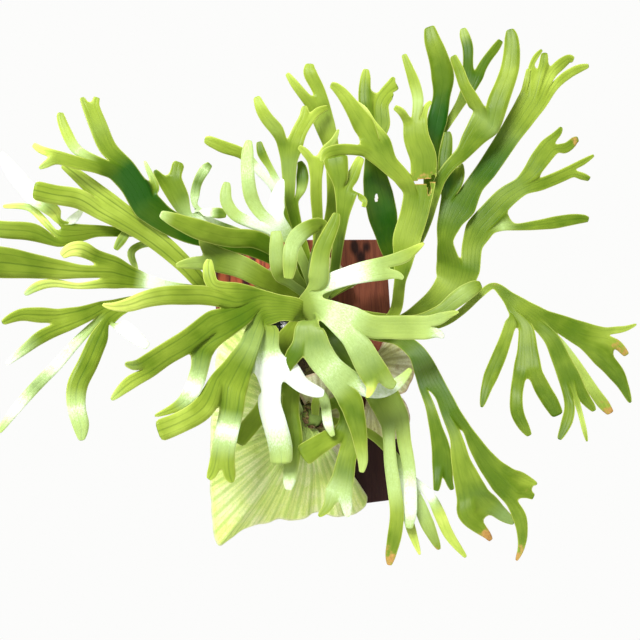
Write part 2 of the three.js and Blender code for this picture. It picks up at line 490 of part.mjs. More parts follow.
// Stand of the root ball's skin at a point of the board, or of one let out by the allowance.
function ballStand(x, z, allowance = 0) {
  const across = (x - ROOT_BALL.x) / (ROOT_BALL.halfWidth + allowance);
  const up = (z - ROOT_BALL.z) / (ROOT_BALL.halfHeight + allowance);
  const r = Math.min(1, Math.hypot(across, up));
  const share = (1 - r ** ROOT_BALL.power) ** (1 / ROOT_BALL.power);
  return BOARD.depth + GAP + (ROOT_BALL.rise + allowance) * share;
}

// The dome of the root ball from one share of its radius to another: rings of points.
function domeRings(allowance, shares) {
  return shares.map((share) =>
    Array.from({ length: DOME_SIDES }, (_, i) => {
      const a = (i / DOME_SIDES) * 2 * Math.PI;
      const x = ROOT_BALL.x + (ROOT_BALL.halfWidth + allowance) * share * Math.cos(a);
      const z = ROOT_BALL.z + (ROOT_BALL.halfHeight + allowance) * share * Math.sin(a);
      return new THREE.Vector3(x, -ballStand(x, z, allowance), z);
    }),
  );
}

// Closes rings of points, each the same length, into a solid with a pole or a ring at each end.
function loft(rings, closed) {
  const sides = rings[0].length;
  const points = rings.flat();
  const faces = [];
  const last = rings.length - 1;
  for (let r = 0; r < (closed ? rings.length : last); r++) {
    const next = (r + 1) % rings.length;
    for (let i = 0; i < sides; i++) {
      const j = (i + 1) % sides;
      faces.push([r * sides + i, r * sides + j, next * sides + j]);
      faces.push([r * sides + i, next * sides + j, next * sides + i]);
    }
  }
  if (!closed) {
    for (const [ring, flip] of [[0, true], [last, false]]) {
      const middle = rings[ring].reduce((sum, p) => sum.add(p), new THREE.Vector3()).divideScalar(sides);
      const hub = points.push(middle) - 1;
      for (let i = 0; i < sides; i++) {
        const a = ring * sides + i;
        const b = ring * sides + ((i + 1) % sides);
        faces.push(flip ? [hub, b, a] : [hub, a, b]);
      }
    }
  }
  return flipIfInsideOut(geometryOf(points, faces));
}

const DOME_SHARES = [1, 0.985, 0.93, 0.82, 0.64, 0.42, 0.2];
const DOME_SIDES = 22;

function rootBallGeometry() {
  const rings = domeRings(0, DOME_SHARES);
  const foot = rings[0].map((p) => p.clone().setY(-BOARD.depth - GAP));
  rings[0] = foot;
  return cut(loft(rings, false), crownGeometry(MAIN_CROWN, GAP), crownGeometry(LOW_CROWN, GAP));
}

function wrapGeometry() {
  const shares = DOME_SHARES.filter((share) => share >= WRAP.openFrom);
  const inner = domeRings(WRAP.inner, shares);
  const outer = domeRings(WRAP.inner + WRAP.thick, shares);
  const solid = loft([...inner, ...outer.reverse()], true);
  return cut(solid, crownGeometry(MAIN_CROWN, GAP), crownGeometry(LOW_CROWN, GAP));
}

// ---- Fronds -------------------------------------------------------------------------------
const tipsOf = (b) => (b.lobes.length ? b.lobes.reduce((sum, lobe) => sum + tipsOf(lobe), 0) : 1);

const seatOf = (crown, stand) => new THREE.Vector3(crown.x, -stand, crown.z);

// Rows of a blade with its lobes, as points, normals and cells of one branching sheet.
function sheetOf(root) {
  const points = [];
  const normals = [];
  const cells = [];

  function frameAt(at, tangent) {
    const toEye = EYE.clone().sub(at).normalize();
    const normal = toEye.addScaledVector(tangent, -toEye.dot(tangent)).normalize();
    return { normal, side: tangent.clone().cross(normal).normalize() };
  }

  function addRow(centre, side, normal, width, columns) {
    const row = [];
    for (let i = 0; i <= columns; i++) {
      row.push(points.length);
      points.push(centre.clone().addScaledVector(side, width * (i / columns - 0.5)));
      normals.push(normal.clone());
    }
    return row;
  }

  function join(lower, upper) {
    for (let i = 0; i + 1 < lower.length; i++) {
      cells.push([lower[i], lower[i + 1], upper[i + 1], upper[i]]);
    }
  }

  // How far to one side of the row that it forks from a lobe starts.
  function turnOf(lobe, row) {
    const middle = points[row[0]].clone().add(points[row.at(-1)]).multiplyScalar(0.5);
    const [u, v, stand] = lobe.rows[0];
    return plot(u, v, stand).sub(middle).normalize();
  }

  function fork(b, row) {
    const side = points[row.at(-1)].clone().sub(points[row[0]]);
    const order = [...b.lobes].sort((p, q) => turnOf(p, row).dot(side) - turnOf(q, row).dot(side));
    let first = 0;
    for (const lobe of order) {
      const share = row.slice(first, first + tipsOf(lobe) + 1);
      first += tipsOf(lobe);
      const [a, z] = [points[share[0]], points[share.at(-1)]];
      grow(lobe, { at: a.clone().add(z).multiplyScalar(0.5), width: a.distanceTo(z), row: share });
    }
  }

  function grow(b, start) {
    const knots = b.rows.map(([u, v, stand, w]) => ({ at: plot(u, v, stand), width: w * scaleAt(stand) }));
    knots.unshift(start);
    const path = new THREE.CatmullRomCurve3(knots.map((k) => k.at), false, "centripetal");
    const spans = knots.length - 1;
    let last = start.row ?? null;
    for (let s = 0; s <= spans; s++) {
      const far = s < spans ? knots[s].at.distanceTo(knots[s + 1].at) : 0;
      const parts = s < spans ? Math.max(1, Math.round(far / CROSS_ROW)) : 1;
      for (let p = 0; p < parts; p++) {
        if (start.row && s === 0 && p === 0) continue;
        const t = (s + p / parts) / spans;
        const to = knots[Math.min(s + 1, spans)];
        const width = THREE.MathUtils.lerp(knots[s].width, to.width, p / parts);
        const { normal, side } = frameAt(path.getPoint(t), path.getTangent(t));
        const row = addRow(path.getPoint(t), side, normal, width, tipsOf(b));
        if (last) join(last, row);
        last = row;
      }
    }
    if (b.lobes.length) fork(b, last);
  }

  grow(root, { at: seatOf(root.crown, root.stand), width: root.width });
  return { points, normals, cells };
}

function frondGeometry(root) {
  const { points, normals, cells } = sheetOf(root);
  return cut(thicken(points, normals, cells, FROND_THICK), crownGeometry(root.crown, GAP));
}

// ---- Shields ------------------------------------------------------------------------------
function shieldGeometry({ hub, rim, swell, rings, ripple }) {
  const centre = plot(...hub);
  const ends = rim.map((point) => plot(...point));
  const points = [centre];
  for (let r = 1; r <= rings; r++) {
    const t = r / rings;
    ends.forEach((end, i) => {
      const p = centre.clone().lerp(end, t);
      p.y -= swell * Math.sin(Math.PI * t * 0.9) + (i % 2 ? ripple : -ripple) * t;
      points.push(p);
    });
  }
  const cells = [];
  const at = (ring, i) => 1 + (ring - 1) * ends.length + i;
  for (let i = 0; i + 1 < ends.length; i++) {
    cells.push([0, at(1, i), at(1, i + 1), at(1, i + 1)]);
    for (let r = 1; r < rings; r++) {
      cells.push([at(r, i), at(r + 1, i), at(r + 1, i + 1), at(r, i + 1)]);
    }
  }
  const normals = normalsOf(points, cells);
  const shell = thicken(points, normals, cells, SHIELD_THICK);
  return cut(flipIfInsideOut(shell), crownGeometry(MAIN_CROWN, GAP), crownGeometry(LOW_CROWN, GAP));
}

// A unit normal at each point of a sheet: the mean over the cells that meet there.
function normalsOf(points, cells) {
  const normals = points.map(() => new THREE.Vector3());
  for (const [a, b, c] of cells) {
    const n = points[b].clone().sub(points[a]).cross(points[c].clone().sub(points[a])).normalize();
    if (n.y > 0) n.negate();
    for (const corner of new Set([a, b, c])) normals[corner].add(n);
  }
  for (const [, , third, fourth] of cells) {
    if (normals[fourth].lengthSq() === 0) normals[fourth].copy(normals[third]);
  }
  return normals.map((n) => n.normalize());
}

// ---- Board and what is fixed to it --------------------------------------------------------
function nailGeometry(x, z, allowance = 0) {
  const { headRadius, headHeight, shankRadius, depth, head } = NAIL;
  const r = shankRadius + allowance;
  const point = BOARD.depth - depth - allowance;
  const rim = headRadius + allowance;
  const top = head + headHeight;
  const profile = [[0, point], [r, point + NAIL.point], [r, head], [rim, head], [rim, top], [0, top]];
  return turned(x, z, profile, TURNED_SIDES);
}

function tieEnds(z) {
  const up = (z - ROOT_BALL.z) / (ROOT_BALL.halfHeight + WRAP.margin);
  const half = (ROOT_BALL.halfWidth + WRAP.margin) * Math.sqrt(1 - up * up) + TIE.reach;
  return [ROOT_BALL.x - half, ROOT_BALL.x + half];
}

function tieGeometry(z) {
  const [left, right] = tieEnds(z);
  const outside = WRAP.inner + WRAP.thick + TIE.clear;
  const level = z + NAIL.headRadius + TIE.radius + GAP;
  const route = Array.from({ length: TIE.stops + 1 }, (_, i) => {
    const x = THREE.MathUtils.lerp(left, right, i / TIE.stops);
    const over = ballStand(x, level, outside);
    return new THREE.Vector3(x, -Math.max(over, TIE.neck), level);
  });
  const tube = new THREE.ExtrudeGeometry(disc(0, 0, TIE.radius), {
    steps: TIE.steps,
    curveSegments: 4,
    bevelEnabled: false,
    extrudePath: new THREE.CatmullRomCurve3(route, false, "centripetal"),
  });
  return flipIfInsideOut(tube);
}

function screwGeometry(x, allowance = 0) {
  const { headRadius, headHeight, shankRadius, length } = SCREW;
  const r = shankRadius + allowance;
  const profile = [[0, length + allowance], [r, length - SCREW.point], [r, headHeight],
    [headRadius, headHeight], [headRadius, 0], [0, 0]];
  return turned(x, HANGER.z, profile, TURNED_SIDES);
}

// The plate's keyhole: a round mouth for the wall screw's head, then a slot for its shank above.
function keyholePath() {
  const { z, slot, holeRadius, slotRadius } = HANGER;
  const low = z - slot / 2;
  const meet = Math.asin(slotRadius / holeRadius);
  const path = new THREE.Path();
  path.absarc(0, low, holeRadius, Math.PI / 2 + meet, Math.PI / 2 - meet + 2 * Math.PI);
  path.absarc(0, z + slot / 2, slotRadius, 0, Math.PI);
  path.closePath();
  return path;
}

function hangerGeometry() {
  const face = rectangle(0, HANGER.z, HANGER.width, HANGER.height);
  face.holes.push(keyholePath());
  for (const side of [-1, 1]) {
    face.holes.push(disc(side * HANGER.screwX, HANGER.z, SCREW.shankRadius + GAP));
  }
  return slab(face, HANGER.inset, HANGER.inset + HANGER.thick);
}

function boardGeometry(nailSpots) {
  const { width, height, depth, chamfer } = BOARD;
  const blank = new THREE.ExtrudeGeometry(rectangle(0, 0, width - 2 * chamfer, height - 2 * chamfer), {
    depth: depth - 2 * chamfer,
    bevelSize: chamfer,
    bevelThickness: chamfer,
    bevelSegments: 1,
  });
  blank.rotateX(Math.PI / 2);
  blank.translate(0, -chamfer, 0);
  const clear = 2 * POCKET.clear;
  const mouth = rectangle(0, HANGER.z, HANGER.width + clear, HANGER.height + clear);
  const recess = slab(mouth, -CUT_PAST, HANGER.inset + HANGER.thick + GAP);
  const pocket = slab(rectangle(0, HANGER.z, POCKET.width, POCKET.height), -CUT_PAST, POCKET.depth);
  const screws = [-1, 1].map((side) => screwGeometry(side * HANGER.screwX, GAP));
  const nails = nailSpots.map(([x, z]) => nailGeometry(x, z, GAP));
  return cut(flipIfInsideOut(blank), recess, pocket, ...screws, ...nails);
}

// ---- Assembly -----------------------------------------------------------------------------
function finish(color, roughness, metalness = 0) {
  return new THREE.MeshStandardMaterial({ color, roughness, metalness });
}

const FINISH = {
  leaf: finish(0x86b03c, 0.45),
  shield: finish(0xc4d67c, 0.6),
  husk: finish(0xb09a6a, 0.8),
  moss: finish(0x5b4a30, 0.95),
  scale: finish(0x8c7a48, 0.9),
  film: finish(0x101014, 0.25),
  wood: finish(0x8a4a35, 0.7),
  cord: finish(0x1c1c1e, 0.5),
  steel: finish(0xb8b8b4, 0.35, 1),
};

const part = new THREE.Group();

function add(name, geometry, material) {
  const mesh = new THREE.Mesh(geometry, material);
  mesh.name = name;
  part.add(mesh);
}

const nailSpots = TIE.rows.flatMap((z) => tieEnds(z).map((x) => [x, z]));
add("board", boardGeometry(nailSpots), FINISH.wood);
add("hanger_plate", hangerGeometry(), FINISH.steel);
add("hanger_screw_left", screwGeometry(-HANGER.screwX), FINISH.steel);
add("hanger_screw_right", screwGeometry(HANGER.screwX), FINISH.steel);
nailSpots.forEach(([x, z], i) => add(`nail_${i + 1}`, nailGeometry(x, z), FINISH.steel));
TIE.rows.forEach((z, i) => add(`tie_${i + 1}`, tieGeometry(z), FINISH.cord));
add("root_ball", rootBallGeometry(), FINISH.moss);
add("root_wrap", wrapGeometry(), FINISH.film);
add("crown_main", crownGeometry(MAIN_CROWN), FINISH.scale);
add("crown_low", crownGeometry(LOW_CROWN), FINISH.scale);
for (const [name, shield] of Object.entries(SHIELDS)) {
  add(name, shieldGeometry(shield), name === "shield_green" ? FINISH.shield : FINISH.husk);
}
for (const [name, root] of Object.entries(FRONDS)) add(name, frondGeometry(root), FINISH.leaf);

export default part;
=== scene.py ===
"""A staghorn fern that grows on a hanging wooden board.

Lengths in the classes are millimetres in the part's own frame: +Z is up, the wall is the plane
y = 0, and the plant stands out of it towards -Y. Meshes are scaled to metres when they are made.
"""

import logging
import math
from collections.abc import Sequence
from dataclasses import dataclass, field
from enum import Enum

import bmesh
import bpy
from bmesh.types import BMFace, BMLayerItem, BMesh, BMVert
from bpy.types import Material, Node, NodeSocket, Object
from mathutils import Matrix, Vector, noise


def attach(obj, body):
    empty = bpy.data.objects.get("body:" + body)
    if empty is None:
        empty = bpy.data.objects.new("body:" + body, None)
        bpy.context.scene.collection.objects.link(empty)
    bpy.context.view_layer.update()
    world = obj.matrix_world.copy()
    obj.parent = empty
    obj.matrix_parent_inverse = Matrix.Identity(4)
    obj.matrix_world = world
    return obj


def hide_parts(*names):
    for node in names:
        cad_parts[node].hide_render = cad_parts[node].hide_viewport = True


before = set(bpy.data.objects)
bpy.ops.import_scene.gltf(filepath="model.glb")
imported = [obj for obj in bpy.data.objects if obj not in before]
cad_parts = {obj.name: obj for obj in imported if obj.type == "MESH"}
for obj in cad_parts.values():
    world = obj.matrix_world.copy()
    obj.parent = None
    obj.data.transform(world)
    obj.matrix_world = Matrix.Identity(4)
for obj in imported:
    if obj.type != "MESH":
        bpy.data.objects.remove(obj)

LOG = logging.getLogger("staghorn_fern")
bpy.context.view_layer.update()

MM = 0.001
BODY = "root"
Colour = tuple[float, float, float]
Row = Sequence[float]
Plug = NodeSocket | float | Colour
LOOK = (0.55, 0.0, 0.0)
CHART_STEP = 10.0  # the millimetres that one unit of a sheet's chart stands for
FAR = 99.0  # millimetres, and beyond every limit that it is compared with


# ---- Where things are ---------------------------------------------------------------------
@dataclass(frozen=True)
class Sight:
    """The upright frame and the eye point that the fronds are plotted through."""

    eye: Vector = Vector((-193.0, -708.0, 12.0)).freeze()
    frame_stand: float = 150.0

    def scale(self, stand: float) -> float:
        """How much longer a plotted length is at this distance from the wall."""
        return (-self.eye.y - stand) / (-self.eye.y - self.frame_stand)

    def plot(self, across: float, up: float, stand: float) -> Vector:
        """The point that is seen through (across, up) and stands that far from the wall.

        Args:
            across: The plotted place across.
            up: The plotted place up.
            stand: The distance from the wall.

        Returns:
            The point.
        """
        k = self.scale(stand)
        return Vector(
            (self.eye.x + (across - self.eye.x) * k, -stand, self.eye.z + (up - self.eye.z) * k)
        )


SIGHT = Sight()


@dataclass(frozen=True)
class Crown:
    """A bud on the root ball that fronds leave, as a short body along the line out of the wall."""

    node: str
    x: float
    z: float
    foot: float
    tip: float
    radius: float

    def seat(self, stand: float) -> Vector:
        """The point on the bud's axis that stands that far from the wall."""
        return Vector((self.x, -stand, self.z))


MAIN_CROWN = Crown("crown_main", x=-12.0, z=70.0, foot=44.0, tip=115.0, radius=19.0)
LOW_CROWN = Crown("crown_low", x=-19.0, z=-42.0, foot=56.0, tip=98.0, radius=14.0)


@dataclass(frozen=True)
class Blade:
    """A stretch of frond between forks: rows from its base outwards and the lobes it forks into.

    A row is [across, up, stand, width], plotted, then as far as they change from the row before
    its shade (0 dark green to 1 lime: the frond's own colour, darkened as painted shadow where other
    fronds shade it), its bloom (pale felted hairs with painted glare) and how dry it is. The web is how
    far the skin between a lobe and the one named before it goes on from their fork.
    """

    rows: Sequence[Row]
    lobes: tuple["Blade", ...]
    web: float

    @property
    def tips(self) -> int:
        """How many tips this stretch leads to."""
        return sum(lobe.tips for lobe in self.lobes) or 1


@dataclass(frozen=True)
class Frond(Blade):
    """One whole antler frond, from its seat in a crown."""

    crown: Crown
    stand: float
    width: float
    veined: float
    bites: Sequence[Row]


def blade(rows: Sequence[Row], *lobes: Blade, web: float = 0.0) -> Blade:
    """A stretch of frond with its lobes."""
    return Blade(rows, lobes, web)


def frond(
    crown: Crown,
    stand: float,
    width: float,
    rows: Sequence[Row],
    *lobes: Blade,
    veined: float = 0.08,
    bites: Sequence[Row] = (),
) -> Frond:
    """A frond that leaves the axis of its crown at a stand of its own.

    Args:
        crown: The crown that it grows from.
        stand: How far from the wall it leaves the crown's axis.
        width: Its width there.
        rows: The rows of its stalk.
        lobes: The lobes that it forks into.
        veined: How dark its veins are, from 0 to 1.
        bites: Holes that were eaten out of it: [across, up, stand, half width, half height].

    Returns:
        The frond.
    """
    return Frond(rows, lobes, 0.0, crown, stand, width, veined, bites)


@dataclass(frozen=True)
class Knot:
    """One row of a blade in space."""

    at: Vector
    width: float
    look: Vector


class Path:
    """A smooth line through points, even where they lie unevenly far apart."""

    def __init__(self, points: Sequence[Vector], before: Vector | None = None) -> None:
        """Takes the points, and a point that the line comes from.

        Args:
            points: What the line runs through, two or more.
            before: A point ahead of the first one that sets the line's first direction.
        """
        lead = before if before is not None else points[0] * 2 - points[1]
        self.points = [lead, *points, points[-1] * 2 - points[-2]]

    def at(self, span: int, share: float) -> Vector:
        """The point at a share of one span, by centripetal interpolation.

        Args:
            span: Which stretch between two of the points.
            share: How far along it, from 0 to 1.

        Returns:
            The point.
        """
        p = self.points[span : span + 4]
        knots = [0.0]
        for a, b in zip(p, p[1:]):
            knots.append(knots[-1] + max((b - a).length, 1e-3) ** 0.5)
        t = knots[1] + (knots[2] - knots[1]) * share

        def between(a: Vector, b: Vector, low: int, high: int) -> Vector:
            """The point between two points, where t is between two knots."""
            return a.lerp(b, (t - knots[low]) / (knots[high] - knots[low]))

        first = between(p[0], p[1], 0, 1)
        middle = between(p[1], p[2], 1, 2)
        last = between(p[2], p[3], 2, 3)
        return between(between(first, middle, 0, 2), between(middle, last, 1, 3), 1, 2)

    def heading(self, span: int, share: float) -> Vector:
        """The direction of the line at a share of one span.

        Args:
            span: Which span.
            share: The share of it.

        Returns:
            The direction, one unit long.
        """
        step = 0.02
        low, high = max(0.0, share - step), min(1.0, share + step)
        return (self.at(span, high) - self.at(span, low)).normalized()


def smooth(share: float) -> float:
    """Eases a share so that it starts and ends gently."""
    share = min(1.0, max(0.0, share))
    return share * share * (3.0 - 2.0 * share)


def mix(a: float, b: float, share: float) -> float:
    """The value that share of the way from a to b."""
    return a + (b - a) * share


# ---- Meshes -------------------------------------------------------------------------------
@dataclass
class Piece:
    """A mesh in the making: its bmesh in millimetres, then its object in metres."""

    name: str
    bm: BMesh = field(default_factory=bmesh.new)

    def layer(self, name: str) -> BMLayerItem:
        """Adds a layer that holds a vector at each vertex."""
        return self.bm.verts.layers.float_vector.new(name)

    def turn_outward(self) -> None:
        """Turns all faces outwards."""
        bmesh.ops.recalc_face_normals(self.bm, faces=self.bm.faces)

    def make(
        self, slot: str, finish: Material, rounds: int = 1, thickness: float = 0.0, group: str = ""
    ) -> Object:
        """Turns the bmesh into an object that stands for the CAD node of its name.

        Args:
            slot: The material slot's name; not used.
            finish: What it is made of.
            rounds: How often its faces are divided to round it.
            thickness: That of a sheet, in millimetres, or 0 for a solid.
            group: The vertex group that thins the sheet, if any.

        Returns:
            The object, at the origin, with smooth faces.
        """
        bmesh.ops.scale(self.bm, vec=(MM, MM, MM), verts=self.bm.verts)
        for face in self.bm.faces:
            face.smooth = True
        mesh = bpy.data.meshes.new(self.name)
        self.bm.to_mesh(mesh)
        self.bm.free()
        made = bpy.data.objects.new(self.name, mesh)
        bpy.context.scene.collection.objects.link(made)
        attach(made, BODY)
        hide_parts(self.name)
        if group:
            made.vertex_groups.new(name=group)
        if thickness:
            wall = made.modifiers.new("wall", "SOLIDIFY")
            wall.thickness = thickness * MM
            wall.offset = 0.0
            wall.edge_crease_inner = 1.0
            wall.edge_crease_outer = 1.0
            wall.vertex_group = group
        if rounds:
            rounding = made.modifiers.new("rounding", "SUBSURF")
            rounding.levels = rounds
            rounding.render_levels = rounds
        mesh.materials.append(finish)
        LOG.info("%s: %d faces", self.name, len(mesh.polygons))
        return made


def links(row: list[BMVert], closed: bool) -> list[tuple[BMVert, BMVert]]:
    """Each vertex of a row with the next one, and in a ring the last one with the first."""
    return list(zip(row, [*row[1:], row[0]] if closed else row[1:]))


def start_row(bm: BMesh, count: int, closed: bool = False) -> list[BMVert]:
    """Starts a sheet with a chain or a ring of vertices and edges.

    Args:
        bm: The mesh.
        count: How many vertices.
        closed: Whether the last one joins the first.

    Returns:
        The vertices in order.
    """
    row = [bm.verts.new() for _ in range(count)]
    for pair in links(row, closed):
        bm.edges.new(pair)
    return row


def next_row(bm: BMesh, row: list[BMVert], closed: bool = False) -> list[BMVert]:
    """Extrudes the edges along a row.

    Args:
        bm: The mesh.
        row: The row's vertices in order.
        closed: Whether the row is a ring.

    Returns:
        The new vertices in the same order.
    """
    edges = [bm.edges.get(pair) for pair in links(row, closed)]
    made = bmesh.ops.extrude_edge_only(bm, edges=edges)["geom"]
    fresh = {v for v in made if isinstance(v, BMVert)}
    return [next(e.other_vert(v) for e in v.link_edges if e.other_vert(v) in fresh) for v in row]


def chart_from(bm: BMesh, plan: BMLayerItem) -> None:
    """Lays a mesh out flat in its UV map, from a place that each vertex holds.

    Args:
        bm: The mesh.
        plan: The layer that holds each vertex's place.
    """
    chart = bm.loops.layers.uv.new("plan")
    for face in bm.faces:
        for loop in face.loops:
            loop[chart].uv = loop.vert[plan].xy


def loft(bm: BMesh, rings: Sequence[Sequence[Vector]], caps: bool = True) -> list[list[BMVert]]:
    """Draws a closed ring out through the places that each later ring takes.

    Args:
        bm: The mesh.
        rings: The places of each ring's vertices, the same number in each.
        caps: Whether to close the first and the last ring.

    Returns:
        The rings' vertices.
    """
    rows: list[list[BMVert]] = []
    for places in rings:
        row = next_row(bm, rows[-1], True) if rows else start_row(bm, len(places), True)
        for vert, place in zip(row, places):
            vert.co = place
        rows.append(row)
    if caps:
        for row in (rows[0], rows[-1]):
            edges = [bm.edges.get(pair) for pair in links(row, True)]
            bmesh.ops.contextual_create(bm, geom=[*row, *edges])
    return rows


def turns_round(count: int) -> list[float]:
    """The angles of points that are spread evenly round a ring."""
    return [2 * math.pi * i / count for i in range(count)]


# ---- Finishes -----------------------------------------------------------------------------
def shade(code: str) -> Colour:
    """The linear light of a screen colour that is written as six hex digits."""
    parts = [int(code[i : i + 2], 16) / 255 for i in (0, 2, 4)]
    return tuple(p / 12.92 if p <= 0.04045 else ((p + 0.055) / 1.055) ** 2.4 for p in parts)


class Wiring:
    """Lays out the shader nodes of one finish."""

    def __init__(self, name: str) -> None:
        """Starts a material that has nothing but its output.

        Args:
            name: The material's name.
        """
        self.material = bpy.data.materials.new(name)
        self.material.use_nodes = True
        self.tree = self.material.node_tree
        self.tree.nodes.clear()
        self.output = self.tree.nodes.new("ShaderNodeOutputMaterial")

    def node(self, kind: str, plugs: dict[str | int, Plug], **settings: str | bool) -> Node:
        """Adds a node.

        Args:
            kind: Its type, without the prefix that shader nodes share.
            plugs: What goes into its sockets, by name or number: links or fixed values.
            settings: Its own properties.

        Returns:
            The node.
        """
        made = self.tree.nodes.new("ShaderNode" + kind)
        for key, value in settings.items():
            setattr(made, key, value)
        for key, plug in plugs.items():
            socket = made.inputs[key]
            if isinstance(plug, NodeSocket):
                self.tree.links.new(plug, socket)
            elif socket.type == "RGBA":
                socket.default_value = (*plug, 1.0)
            else:
                socket.default_value = plug
        return made

    def place(self) -> NodeSocket:
        """Where a point is in the part's frame, in metres."""
        return self.node("TexCoord", {}).outputs["Object"]

    def chart(self, layer: str) -> NodeSocket:
        """The UV map that was drawn with the mesh."""
        return self.node("UVMap", {}, uv_map=layer).outputs["UV"]

    def split(self, vector: NodeSocket) -> tuple[NodeSocket, NodeSocket, NodeSocket]:
        """The three parts of a vector."""
        parts = self.node("SeparateXYZ", {0: vector}).outputs
        return parts[0], parts[1], parts[2]

    def measured(self, layer: str) -> tuple[NodeSocket, NodeSocket, NodeSocket]:
        """The three values that the mesh holds in an attribute."""
        return self.split(self.node("Attribute", {}, attribute_name=layer).outputs["Vector"])

    def math(self, operation: str, *values: Plug, clamp: bool = False) -> NodeSocket:
        """The result of one sum."""
        plugs = dict(enumerate(values))
        return self.node("Math", plugs, operation=operation, use_clamp=clamp).outputs[0]

    def times(self, a: Plug, b: Plug) -> NodeSocket:
        """The product of two values."""
        return self.math("MULTIPLY", a, b)

    def plus(self, a: Plug, b: Plug) -> NodeSocket:
        """The sum of two values."""
        return self.math("ADD", a, b)

    def minus(self, a: Plug, b: Plug) -> NodeSocket:
        """The difference of two values."""
        return self.math("SUBTRACT", a, b)

    def line(self, value: Plug, slope: float, start: Plug, clamp: bool = False) -> NodeSocket:
        """A value times a slope, on top of a start."""
        return self.math("MULTIPLY_ADD", value, slope, start, clamp=clamp)

    def sway(self, pattern: Plug, much: float, about: Plug, clamp: bool = False) -> NodeSocket:
        """A value that a pattern about 0.5 pushes up and down."""
        return self.line(self.minus(pattern, 0.5), much, about, clamp)

    def off_middle(self, share: NodeSocket) -> NodeSocket:
        """How far a share is from the middle between two whole numbers."""
        return self.math("ABSOLUTE", self.minus(self.math("FRACT", share), 0.5))

    def fade(self, value: Plug, start: float, end: float) -> NodeSocket:
        """Goes smoothly from 0 where the value is at the start to 1 where it is at the end."""
        plugs = {"Value": value, "From Min": start, "From Max": end}
        return self.node("MapRange", plugs, interpolation_type="SMOOTHSTEP").outputs["Result"]

    def blend(self, share: Plug, under: Plug, over: Plug) -> NodeSocket:
        """One colour over another."""
        return self.node("Mix", {0: share, 6: under, 7: over}, data_type="RGBA").outputs[2]

    def ramp(self, share: NodeSocket, *stops: tuple[float, Colour]) -> NodeSocket:
        """A colour that goes through stops as the share goes from 0 to 1.

        Args:
            share: What the colour follows.
            stops: The shares and their colours, in order.

        Returns:
            The colour.
        """
        made = self.node("ValToRGB", {0: share})
        marks = made.color_ramp.elements
        while len(marks) < len(stops):
            marks.new(0.5)
        for mark, (at, colour) in zip(marks, stops):
            mark.position = at
            mark.color = (*colour, 1.0)
        return made.outputs[0]

    def stretch(self, where: NodeSocket, x: float, y: float, z: float) -> NodeSocket:
        """Coordinates that are scaled before a pattern reads them."""
        return self.node("Mapping", {"Vector": where, "Scale": (x, y, z)}).outputs[0]

    def cloud(self, where: NodeSocket, scale: float, detail: float = 3.0, warp: float = 0.0) -> NodeSocket:
        """Soft noise about 0.5."""
        plugs = {"Vector": where, "Scale": scale, "Detail": detail, "Distortion": warp}
        return self.node("TexNoise", plugs).outputs[0]

    def cells(self, where: NodeSocket, scale: float, feature: str = "F1") -> NodeSocket:
        """The distance from the nearest of many scattered points, or from the edge between two."""
        plugs = {"Vector": where, "Scale": scale}
        return self.node("TexVoronoi", plugs, feature=feature).outputs["Distance"]

    def relief(self, height: NodeSocket, depth: float) -> NodeSocket:
        """The surface's direction with a relief of that many millimetres."""
        return self.node("Bump", {"Height": height, "Distance": depth * MM}).outputs[0]

    def skin(
        self,
        colour: NodeSocket,
        rough: Plug,
        normal: NodeSocket | None = None,
        metallic: float = 0.0,
        specular: float = 0.5,
    ) -> NodeSocket:
        """A principled surface.

        Args:
            colour: Its colour.
            rough: Its roughness.
            normal: Its direction, if it has a relief.
            metallic: 1 for a metal.
            specular: How strongly it shines, 0.5 for most things.

        Returns:
            The surface.
        """
        plugs = {"Base Color": colour, "Roughness": rough, "Metallic": metallic}
        plugs["Specular IOR Level"] = specular
        if normal:
            plugs["Normal"] = normal
        return self.node("BsdfPrincipled", plugs).outputs[0]

    def done(self, surface: NodeSocket) -> Material:
        """Ends the material with its surface."""
        self.tree.links.new(surface, self.output.inputs["Surface"])
        return self.material

    def thin(self, front: NodeSocket, glow: NodeSocket, normal: NodeSocket, through: float) -> Material:
        """Ends the material as a thin skin.

        Args:
            front: How its surface looks.
            glow: The colour of the light that comes through it.
            normal: Its direction, with its relief.
            through: The share of light that it lets through.

        Returns:
            The material.
        """
        back = self.node("BsdfTranslucent", {"Color": glow, "Normal": normal}).outputs[0]
        return self.done(self.node("MixShader", {0: through, 1: front, 2: back}).outputs[0])


def mm_scale(length: float) -> float:
    """The scale that gives a pattern on metres features of that many millimetres."""
    return 1.0 / (length * MM)


